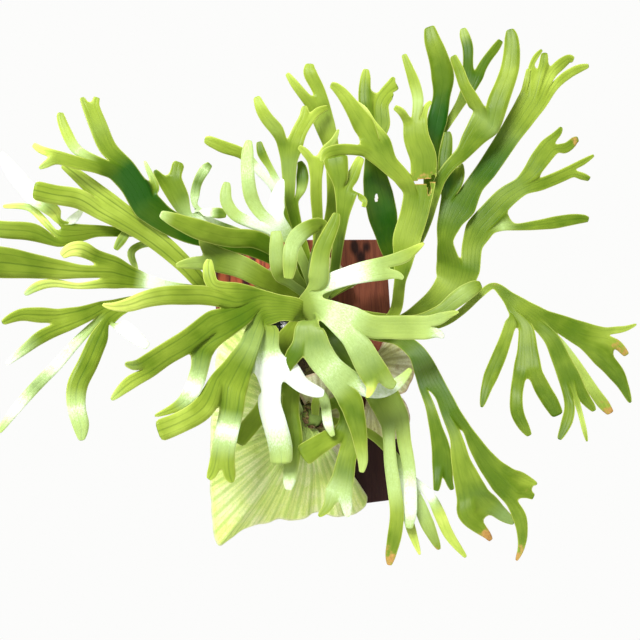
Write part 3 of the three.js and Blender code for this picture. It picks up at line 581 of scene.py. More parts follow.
@dataclass(frozen=True)
class LeafFinish:
    """An antler frond's skin: lime to deep green with painted shadow, veined, felted with painted glare,
    and lets light through.
    """

    deep: Colour = shade("205608")
    green: Colour = shade("5f7c16")
    fresh: Colour = shade("96ac38")
    lime: Colour = shade("c2d65c")
    tip: Colour = shade("ecf582")
    vein: Colour = shade("27520f")
    # The pale green and the near-white below paint the glare of the light on the blades as well as their
    # felted hairs.
    sheen: Colour = shade("c9e39a")
    felt_and_glare: Colour = shade("fafff6")
    straw: Colour = shade("c49a55")
    brown: Colour = shade("7a4424")
    stops: tuple[float, ...] = (0.0, 0.32, 0.58, 0.82, 1.0)
    through: float = 0.30
    glow: float = 0.30
    mottle: float = 34.0
    patch: float = 5.0
    grain: float = 1.6
    uneven: float = 0.5
    fibrous: float = 0.16
    vein_dark: float = 0.55
    rim_light: float = 0.45
    roughness: float = 0.40
    felt_roughness: float = 0.35
    specular: float = 0.2
    relief: float = 0.35

    def material(self) -> Material:
        """The finish, laid out as nodes.

        Returns:
            The finished material.
        """
        w = Wiring("leaf")
        place = w.place()
        # The first attribute holds each row's shade (the frond's own colour, darkened as painted shadow
        # where other fronds shade it), its bloom (pale felted hairs with painted glare) and how dry it is.
        tone_and_painted_light, bloom, dry = w.measured("tone_and_painted_light")
        vein, edge, strip = w.measured("gauge")
        chart = w.chart("plan")
        fibre = w.cloud(w.stretch(chart, 2.2, 0.3, 1.0), 2.4, 5.0)
        fine = w.cloud(place, mm_scale(self.grain), 2.0)
        uneven = w.sway(w.cloud(place, mm_scale(self.mottle), 2.0), self.uneven, tone_and_painted_light)
        # A little lighter within 3 mm of the margin: a paler edge, with a painted glow of light through the
        # thin blade.
        inner = w.line(w.fade(edge, 3.0, 0.0), 0.05, uneven)
        depth = w.sway(fibre, self.fibrous, inner, clamp=True)
        greens = (self.deep, self.green, self.fresh, self.lime, self.tip)
        colour = w.ramp(depth, *zip(self.stops, greens))
        main, side = self.veins(w, vein, strip, w.split(chart)[0])
        lines = w.math("MAXIMUM", main, side)
        veined = w.node("Attribute", {}, attribute_name="veined").outputs["Fac"]
        colour = w.blend(w.times(lines, veined), colour, w.blend(self.vein_dark, colour, self.vein))
        # A thin pale line along each margin: the pale edge itself together with a painted edge highlight.
        colour = w.blend(w.times(w.fade(edge, 0.9, 0.3), self.rim_light), colour, self.tip)
        streak = w.cloud(w.stretch(chart, 9.0, 0.8, 1.0), 3.0, 4.0)
        grain = w.plus(w.line(streak, 0.45, -0.225), w.line(fine, 0.3, -0.15))
        # Painted glare: the bloom turns the colour pale green and then near white, over the pale felted
        # hairs.
        frost_and_glare = w.plus(bloom, w.times(grain, w.fade(bloom, 0.1, 0.7)))
        colour = w.blend(w.fade(frost_and_glare, 0.0, 0.85), colour, self.sheen)
        felt_and_glare = w.fade(frost_and_glare, 0.5, 0.95)
        colour = w.blend(felt_and_glare, colour, self.felt_and_glare)
        age = w.sway(w.cloud(place, mm_scale(self.patch)), 0.9, dry)
        old = w.fade(age, 0.3, 0.6)
        colour = w.blend(old, colour, w.blend(w.fade(age, 0.55, 0.95), self.straw, self.brown))
        height = w.line(lines, -0.25, w.line(fibre, 0.25, w.times(fine, 0.15)))
        rough = w.line(w.math("MAXIMUM", felt_and_glare, old), self.felt_roughness, self.roughness)
        normal = w.relief(height, self.relief)
        front = w.skin(colour, rough, normal, specular=self.specular)
        return w.thin(front, w.blend(self.glow, colour, self.lime), normal, self.through)

    def veins(
        self, w: Wiring, vein: NodeSocket, strip: NodeSocket, across: NodeSocket
    ) -> tuple[NodeSocket, NodeSocket]:
        """Where the veins are: one along each tip's strip, and a finer one on each side of it.

        Args:
            w: The wiring.
            vein: How far a point is from the middle of its strip, in millimetres.
            strip: How wide the strip is, in millimetres.
            across: Where a point is across the frond, in strips.

        Returns:
            The main veins and the fine ones, each from 0 to 1.
        """
        half = w.math("MINIMUM", w.math("MAXIMUM", w.times(strip, 0.08), 0.12), 0.62)
        main = w.fade(w.math("DIVIDE", vein, half), 1.4, 0.4)
        beside = w.math("ABSOLUTE", w.minus(w.off_middle(across), 0.27))
        fine = w.times(w.fade(w.times(beside, strip), 0.55, 0.15), w.fade(strip, 7.0, 12.0))
        return main, w.times(fine, 0.6)


class ShieldKind(Enum):
    """How old a shield frond is."""

    GREEN = "shield_green"
    HUSK = "shield_husk"


@dataclass(frozen=True)
class ShieldFinish:
    """A shield frond's skin, fresh or dried to a husk, with ribs that run out from its hub."""

    kind: ShieldKind
    pale: Colour
    body: Colour
    rib: Colour
    margin: Colour
    stain: Colour
    through: float
    patch: float = 30.0
    spot: float = 11.0
    grain: float = 1.8
    relief: float = 0.5

    def material(self) -> Material:
        """The finish, laid out as nodes.

        Returns:
            The finished material.
        """
        w = Wiring(self.kind.value)
        place = w.place()
        reach, edge, gap = w.measured("gauge")
        chart = w.chart("plan")
        patch = w.cloud(place, mm_scale(self.patch), 3.0)
        fibre = w.cloud(w.stretch(chart, 3.0, 0.3, 1.0), 2.2, 4.0)
        fine = w.cloud(place, mm_scale(self.grain), 3.0)
        net = w.cells(w.stretch(chart, 1.6, 0.9, 1.0), 3.0, "DISTANCE_TO_EDGE")
        off = w.off_middle(w.split(chart)[0])
        main = w.fade(w.times(w.minus(0.5, off), gap), 3.2, 0.6)
        side = w.times(w.fade(w.times(off, gap), 1.6, 0.3), w.fade(reach, 0.35, 0.65))
        rib = w.math("MAXIMUM", main, w.times(side, 0.5))
        colour = w.blend(w.fade(w.plus(patch, w.times(fibre, 0.35)), 0.5, 0.85), self.pale, self.body)
        spots = w.fade(w.cloud(place, mm_scale(self.spot), 5.0), 0.60, 0.72)
        layers = (
            (w.fade(net, 0.09, 0.01), 0.35, self.rib),
            (rib, 0.55, self.rib),
            (w.fade(edge, 3.5, 0.5), 0.6, self.margin),
            (spots, 0.5, self.stain),
            (w.fade(reach, 0.45, 0.05), 0.45, self.rib),
        )
        for where, much, over in layers:
            colour = w.blend(w.times(where, much), colour, over)
        normal = w.relief(w.line(net, 1.5, w.line(fibre, 0.8, fine)), self.relief)
        front = w.skin(colour, w.line(fine, 0.25, 0.42), normal)
        return w.thin(front, colour, normal, self.through)


FRESH_SHIELD = ShieldFinish(
    ShieldKind.GREEN,
    pale=shade("fbffc2"),
    body=shade("e9f78c"),
    rib=shade("a9cc52"),
    margin=shade("fcfed0"),
    stain=shade("c6de64"),
    through=0.24,
)
OLD_SHIELD = ShieldFinish(
    ShieldKind.HUSK,
    pale=shade("ffffe0"),
    body=shade("f4f6b0"),
    rib=shade("b8b264"),
    margin=shade("f4cdb8"),
    stain=shade("a98a52"),
    through=0.35,
)


@dataclass(frozen=True)
class WoodFinish:
    """Oiled cedar: striped red on the left, plainer and knotty on the right, with painted shadow that
    darkens it low down on the right.

    Each knot is where it lies across and up the board, and its radius, in millimetres.
    """

    red: Colour = shade("bb5c3c")
    brown: Colour = shade("91503a")
    stripe: Colour = shade("3c0f16")
    # The black of the knots, also used for the painted shadow low down on the board.
    dark_knot_and_shadow: Colour = shade("12030a")
    knots: tuple[tuple[float, float, float], ...] = (
        (61.0, 141.0, 8.0),
        (75.0, 141.0, 7.0),
        (67.0, 129.0, 9.0),
        (20.0, 96.0, 6.0),
    )
    drift: float = 45.0
    ring: float = 7.0
    pore: float = 0.9
    specular: float = 0.22
    relief: float = 0.5

    def material(self) -> Material:
        """The finish, laid out as nodes.

        Returns:
            The finished material.
        """
        w = Wiring("wood")
        place = w.place()
        x, y, z = w.split(place)
        warp = w.cloud(w.stretch(place, 1.0, 1.0, 0.25), mm_scale(self.drift), 2.0)
        rings = w.node("CombineXYZ", {0: w.line(warp, 0.030, x), 1: y, 2: w.times(z, 0.06)}).outputs[0]
        grain = w.cloud(rings, mm_scale(self.ring), 6.0)
        pores = w.cloud(w.stretch(place, 1.0, 1.0, 0.04), mm_scale(self.pore), 3.0)
        left = w.fade(x, 0.030, -0.010)
        plain = w.blend(w.fade(grain, 0.42, 0.64), self.brown, self.stripe)
        striped = w.blend(w.fade(grain, 0.42, 0.60), self.red, self.stripe)
        colour = w.blend(left, w.blend(0.35, self.brown, plain), striped)
        colour = w.blend(w.times(w.fade(pores, 0.52, 0.70), 0.45), colour, self.stripe)
        for across, up, size in self.knots:
            tall = w.times(w.minus(z, up * MM), 0.6)
            away = w.node("CombineXYZ", {0: w.minus(x, across * MM), 2: tall}).outputs[0]
            far = w.node("VectorMath", {0: away}, operation="LENGTH").outputs["Value"]
            knot = w.fade(w.sway(grain, 0.010, far), size * MM, 0.3 * size * MM)
            colour = w.blend(w.times(knot, 0.92), colour, self.dark_knot_and_shadow)
        # Painted shadow: right of the middle, the board darkens to near black low down, where the plant
        # shades it.
        low = w.times(w.fade(z, -0.015, -0.075), w.fade(x, 0.0, 0.05))
        colour = w.blend(w.times(low, 0.9), colour, self.dark_knot_and_shadow)
        normal = w.relief(w.plus(w.times(grain, 0.7), pores), self.relief)
        return w.done(w.skin(colour, w.line(pores, 0.3, 0.42), normal, specular=self.specular))


@dataclass(frozen=True)
class MossFinish:
    """Sphagnum and old roots: brown, with green and black in it."""

    root: Colour = shade("5b4630")
    moss: Colour = shade("7d7a3c")
    dark: Colour = shade("211a12")
    patch: float = 14.0
    thread: float = 2.0
    relief: float = 2.0

    def material(self) -> Material:
        """The finish, laid out as nodes.

        Returns:
            The finished material.
        """
        w = Wiring("moss")
        place = w.place()
        patch = w.cloud(place, mm_scale(self.patch), 4.0)
        thread = w.cloud(place, mm_scale(self.thread), 5.0, 1.5)
        colour = w.blend(w.fade(patch, 0.42, 0.62), self.root, self.moss)
        colour = w.blend(w.fade(thread, 0.56, 0.36), colour, self.dark)
        return w.done(w.skin(colour, w.line(patch, 0.2, 0.8), w.relief(thread, self.relief)))


@dataclass(frozen=True)
class ScaleFinish:
    """The papery scales of a crown: tan with darker edges."""

    straw: Colour = shade("a8905c")
    brown: Colour = shade("5e4228")
    green: Colour = shade("7c9440")
    fibre: float = 1.2
    relief: float = 0.4

    def material(self) -> Material:
        """The finish, laid out as nodes.

        Returns:
            The finished material.
        """
        w = Wiring("scale")
        across, along, _ = w.measured("gauge")
        fibre = w.cloud(w.stretch(w.place(), 1.0, 0.2, 1.0), mm_scale(self.fibre), 4.0)
        colour = w.blend(w.fade(along, 0.2, 0.9), self.green, self.straw)
        colour = w.blend(w.fade(w.plus(across, w.times(fibre, 0.6)), 0.7, 1.3), colour, self.brown)
        return w.done(w.skin(colour, w.line(fibre, 0.3, 0.6), w.relief(fibre, self.relief)))


@dataclass(frozen=True)
class FilmFinish:
    """Thin black plastic film, glossy and creased."""

    black: Colour = shade("141519")
    dust: Colour = shade("3b3c40")
    crease: float = 9.0
    dirt: float = 3.0
    relief: float = 1.2

    def material(self) -> Material:
        """The finish, laid out as nodes.

        Returns:
            The finished material.
        """
        w = Wiring("film")
        place = w.place()
        crease = w.cloud(place, mm_scale(self.crease), 6.0, 1.2)
        dirt = w.cloud(place, mm_scale(self.dirt), 4.0)
        colour = w.blend(w.times(w.fade(dirt, 0.5, 0.75), 0.5), self.black, self.dust)
        rough = w.line(w.fade(dirt, 0.4, 0.8), 0.35, 0.14)
        return w.done(w.skin(colour, rough, w.relief(crease, self.relief)))


@dataclass(frozen=True)
class CordFinish:
    """Black polymer twine, whose fibres lie along each strand."""

    black: Colour = shade("1b1b1d")
    worn: Colour = shade("4a4844")
    relief: float = 0.15

    def material(self) -> Material:
        """The finish, laid out as nodes.

        Returns:
            The finished material.
        """
        w = Wiring("cord")
        fibre = w.cloud(w.stretch(w.chart("plan"), 6.0, 0.4, 1.0), 3.0, 3.0)
        colour = w.blend(w.fade(fibre, 0.5, 0.75), self.black, self.worn)
        return w.done(w.skin(colour, w.line(fibre, 0.3, 0.4), w.relief(fibre, self.relief)))


@dataclass(frozen=True)
class SteelFinish:
    """Zinc-plated steel, brushed and a little dull."""

    zinc: Colour = shade("b9bab6")
    dull: Colour = shade("77746d")
    brush: float = 0.5
    bloom: float = 6.0
    relief: float = 0.05

    def material(self) -> Material:
        """The finish, laid out as nodes.

        Returns:
            The finished material.
        """
        w = Wiring("steel")
        place = w.place()
        brush = w.cloud(w.stretch(place, 0.08, 1.0, 1.0), mm_scale(self.brush), 3.0)
        bloom = w.cloud(place, mm_scale(self.bloom), 4.0)
        colour = w.blend(w.fade(bloom, 0.45, 0.7), self.zinc, self.dull)
        rough = w.line(w.plus(brush, bloom), 0.22, 0.14)
        return w.done(w.skin(colour, rough, w.relief(brush, self.relief), metallic=1.0))


@dataclass(frozen=True)
class FloorFinish:
    """The studio's plain pale floor."""

    pale: Colour = shade("ecebe8")
    speck: Colour = shade("e2e0dc")
    grain: float = 60.0
    roughness: float = 0.75

    def material(self) -> Material:
        """The finish, laid out as nodes.

        Returns:
            The finished material.
        """
        w = Wiring("studio_floor")
        colour = w.blend(w.cloud(w.place(), mm_scale(self.grain), 4.0), self.pale, self.speck)
        return w.done(w.skin(colour, self.roughness))


# ---- Antler fronds ------------------------------------------------------------------------
@dataclass(frozen=True)
class FrondForm:
    """How a frond's blade is shaped between its plotted rows. Lengths are in millimetres."""

    step: float = 5.5
    ease: float = 0.5
    cup: float = 0.05
    cup_least: float = 0.4
    cup_swing: float = 1.6
    cup_length: float = 55.0
    ripple: float = 0.4
    ripple_length: float = 34.0
    ripple_width: float = 16.0
    ripple_shift: float = 2.3
    roll: float = 0.22
    roll_length: float = 75.0
    stalk_thick: float = 3.2
    stalk_length: float = 150.0
    blade_share: float = 0.26
    round_below: float = 0.75
    round_rows: int = 3
    round_power: float = 1.5
    round_past: float = 0.4
    edge_limit: float = 20.0
    web_gap: float = 4.5
    web_length: float = 17.0
    web_edge: float = 4.0
    bite_margin: float = 4.0
    bite_cuts: int = 3
    bite_dry: float = 0.55


FORM = FrondForm()


class FrondSheet:
    """Grows one frond row by row as a forking sheet, with what its finish needs at each vertex."""

    def __init__(self, name: str, shape: Frond) -> None:
        """Starts an empty sheet for one frond.

        Args:
            name: The frond's node.
            shape: Its plotted rows and lobes.
        """
        self.piece = Piece(name)
        self.shape = shape
        self.seed = sum(ord(letter) * (i + 3) for i, letter in enumerate(name)) * 0.173
        self.tone_and_painted_light = self.piece.layer("tone_and_painted_light")
        self.gauge = self.piece.layer("gauge")
        self.plan = self.piece.layer("plan")
        layers = self.piece.bm.verts.layers
        self.veined = layers.float.new("veined")
        self.weight = layers.deform.verify()

    def build(self, finish: Material) -> Object:
        """Grows the frond and dresses it.

        Args:
            finish: The leaf's skin.

        Returns:
            The finished object.
        """
        first = self.shape
        look = Vector((*first.rows[0][4:], *LOOK[len(first.rows[0]) - 4 :]))
        start = Knot(first.crown.seat(first.stand), first.width, look)
        self.grow(first, start, None, None, 0, 0.0)
        for across, up, stand, half_width, half_height in first.bites:
            self.bite(SIGHT.plot(across, up, stand), half_width, half_height)
        chart_from(self.piece.bm, self.plan)
        return self.piece.make("leaf", finish, thickness=FORM.stalk_thick, group="thick")

    def grow(
        self,
        part: Blade,
        start: Knot,
        row: list[BMVert] | None,
        before: Vector | None,
        first_tip: int,
        along: float,
    ) -> tuple[list[BMVert], list[BMVert]]:
        """Grows one stretch of blade and then its lobes.

        Args:
            part: The stretch.
            start: Its first row, which is there already unless row is None.
            row: The vertices that it grows from.
            before: The middle of the row before those, if there is one.
            first_tip: How many of the frond's tips lie to its left.
            along: The length of frond up to here.

        Returns:
            The left margin, to the first tip, and the right margin, to the last.
        """
        lefts, rights = ([row[0]], [row[-1]]) if row else ([], [])
        knots = [start]
        for across, up, stand, width, *change in part.rows:
            look = Vector((*change, *knots[-1].look[len(change) :]))
            knots.append(Knot(SIGHT.plot(across, up, stand), width * SIGHT.scale(stand), look))
        path = Path([knot.at for knot in knots], before)
        share_side = (row[-1].co - row[0].co).normalized() if row else None
        previous = before
        last_span = len(knots) - 2
        for span, (here, there) in enumerate(zip(knots, knots[1:])):
            length = (there.at - here.at).length
            closes = span == last_span and not part.lobes and there.width < FORM.round_below * here.width
            parts = max(FORM.round_rows if closes else 1, round(length / FORM.step))
            for i in range(0 if row is None else 1, parts + 1):
                share = i / parts
                if closes:
                    share = 1.0 - (1.0 - share) ** FORM.round_power
                at = path.at(span, share)
                heading = path.heading(span, share)
                if closes:
                    width = math.sqrt(mix(here.width**2, there.width**2, share))
                else:
                    eased = smooth(share) * FORM.ease + share * (1.0 - FORM.ease)
                    width = mix(here.width, there.width, eased)
                turn = smooth(share) if share_side is not None and span == 0 else 1.0
                knot = Knot(at, width, here.look.lerp(there.look, share))
                left = (there.at - at).length + FORM.round_past * there.width if closes else FAR
                reach = along + length * share
                if row is not None:
                    previous = (row[0].co + row[-1].co) / 2
                row = self.add_row(part, knot, heading, row, (share_side, turn), first_tip, reach, left)
                lefts.append(row[0])
                rights.append(row[-1])
            along += length
        if part.lobes:
            on_left, on_right = self.fork(part, row, previous, first_tip, along, knots[-1].look)
            lefts += on_left[1:]
            rights += on_right[1:]
        return lefts, rights

    def add_row(
        self,
        part: Blade,
        knot: Knot,
        heading: Vector,
        row: list[BMVert] | None,
        turn: tuple[Vector | None, float],
        first_tip: int,
        along: float,
        left: float,
    ) -> list[BMVert]:
        """Adds one row of vertices, as an extrusion of the row before it if there is one.

        Args:
            part: The stretch of blade that it belongs to.
            knot: Its middle, width and look.
            heading: The direction in which the blade grows there.
            row: The row before.
            turn: The direction across of the share it grew from, and how far it has left that.
            first_tip: How many of the frond's tips lie to its left.
            along: The length of frond up to here.
            left: How far the blade goes on, in millimetres.

        Returns:
            The new vertices from left to right.
        """
        bm = self.piece.bm
        tips = part.tips
        to_eye = (SIGHT.eye - knot.at).normalized()
        normal = (to_eye - heading * to_eye.dot(heading)).normalized()
        roll = FORM.roll * noise.noise(Vector((self.seed, along / FORM.roll_length, first_tip * 0.9)))
        normal = Matrix.Rotation(roll, 3, heading) @ normal
        side = heading.cross(normal).normalized()
        if turn[0] is not None:
            side = turn[0].lerp(side, turn[1]).normalized()
        new = next_row(bm, row) if row else start_row(bm, 2 * tips + 1)
        curl = noise.noise(Vector((self.seed, along / FORM.cup_length, 3.1 + first_tip)))
        cup = FORM.cup * (FORM.cup_least + FORM.cup_swing * curl)
        spread = knot.width / 2 / math.cos(roll)
        strip = knot.width / tips
        weight = mix(1.0, FORM.blade_share, smooth(along / FORM.stalk_length))
        for i, vert in enumerate(new):
            c = i / tips - 1.0
            phase = self.seed + (FORM.ripple_shift if c > 0 else 0.0)
            wave = FORM.ripple * math.sin(along / FORM.ripple_length * 2 * math.pi + phase)
            lift = -cup * spread * c * c + wave * c * c * smooth(knot.width / FORM.ripple_width)
            vert.co = knot.at + side * (spread * c) + normal * lift
            vein = 0.0 if i % 2 else strip / 2
            edge = min((1.0 - abs(c)) * knot.width / 2, left, FORM.edge_limit)
            vert[self.tone_and_painted_light] = knot.look
            vert[self.gauge] = Vector((vein, edge, strip))
            vert[self.veined] = self.shape.veined
            vert[self.plan] = Vector((first_tip + i / 2, along / CHART_STEP, 0.0))
            vert[self.weight][0] = weight
        return new

    def fork(
        self,
        part: Blade,
        row: list[BMVert],
        before: Vector | None,
        first_tip: int,
        along: float,
        look: Vector,
    ) -> tuple[list[BMVert], list[BMVert]]:
        """Shares a row out to the lobes that leave it, from left to right, and grows them.

        Args:
            part: The stretch that forks.
            row: Its last row.
            before: The middle of the row before that one.
            first_tip: How many of the frond's tips lie to its left.
            along: The length of frond up to here.
            look: The look of the last row.

        Returns:
            The left margin of the first lobe and the right margin of the last.
        """
        across = row[-1].co - row[0].co
        middle = (row[0].co + row[-1].co) / 2
        drift = middle - before if before is not None else Vector()

        def lean(number: int) -> float:
            """How far to the row's end a lobe starts out."""
            aim = SIGHT.plot(*part.lobes[number].rows[0][:3]) - middle
            return aim.normalized().dot(across)

        order = sorted(range(len(part.lobes)), key=lean)
        margins: list[tuple[list[BMVert], list[BMVert]]] = []
        first = 0
        for number in order:
            lobe = part.lobes[number]
            share = row[2 * first : 2 * (first + lobe.tips) + 1]
            at = (share[0].co + share[-1].co) / 2
            for vert in (share[0], share[-1]):
                vert[self.gauge].y = 0.0
            start = Knot(at, (share[-1].co - share[0].co).length, look)
            margins.append(self.grow(lobe, start, share, at - drift, first_tip + first, along))
            first += lobe.tips
        for rank, (a, b) in enumerate(zip(order, order[1:])):
            self.web(margins[rank][1], margins[rank + 1][0], part.lobes[max(a, b)].web)
        return margins[0][0], margins[-1][1]

    def bite(self, at: Vector, half_width: float, half_height: float) -> None:
        """Takes the skin away round a point and dries the edge that is left.

        Args:
            at: The middle of the hole.
            half_width: Half its width.
            half_height: Half its height.
        """
        bm = self.piece.bm

        def within(face: BMFace, more: float) -> bool:
            """Whether a face is in the hole, with that much more all round."""
            off = face.calc_center_median() - at
            return math.hypot(off.x / (half_width + more), off.z / (half_height + more)) < 1.0

        near = [face for face in bm.faces if within(face, FORM.bite_margin)]
        edges = list(dict.fromkeys(edge for face in near for edge in face.edges))
        bmesh.ops.subdivide_edges(bm, edges=edges, cuts=FORM.bite_cuts, use_grid_fill=True)
        eaten = [face for face in bm.faces if within(face, 0.0)]
        for vert in {vert for face in eaten for vert in face.verts}:
            vert[self.tone_and_painted_light].z = FORM.bite_dry
            vert[self.gauge].y = 0.0
        bmesh.ops.delete(bm, geom=eaten, context="FACES")

    def web(self, one: list[BMVert], other: list[BMVert], reach: float) -> None:
        """Joins the margins of two neighbouring lobes where they are still close to their fork.

        Args:
            one: The right margin of the left lobe, from the fork outwards.
            other: The left margin of the right lobe.
            reach: How far the skin between them goes, or 0 while they are very close.
        """
        bm = self.piece.bm
        root = one[0].co
        gap = FAR if reach else FORM.web_gap
        reach = reach or FORM.web_length
        i = j = 0
        while i + 1 < len(one) and j + 1 < len(other):
            a, b = one[i + 1], other[j + 1]
            straight = (a.co - b.co).length
            if straight > gap or ((a.co + b.co) / 2 - root).length > reach:
                break
            skew_a = (a.co - other[j].co).length if i else straight + 1.0
            skew_b = (b.co - one[i].co).length if i else straight + 1.0
            if straight <= min(skew_a, skew_b):
                corners = [one[i], a, b, other[j]] if i or j else [one[0], a, b]
                i, j = i + 1, j + 1
            elif skew_a < skew_b:
                corners = [one[i], a, other[j]]
                i += 1
            else:
                corners = [one[i], b, other[j]]
                j += 1
            bmesh.ops.contextual_create(bm, geom=corners)
            for vert in corners:
                vert[self.gauge].y = max(vert[self.gauge].y, FORM.web_edge)
        for vert in (one[i], other[j]):
            vert[self.gauge].y = 0.0
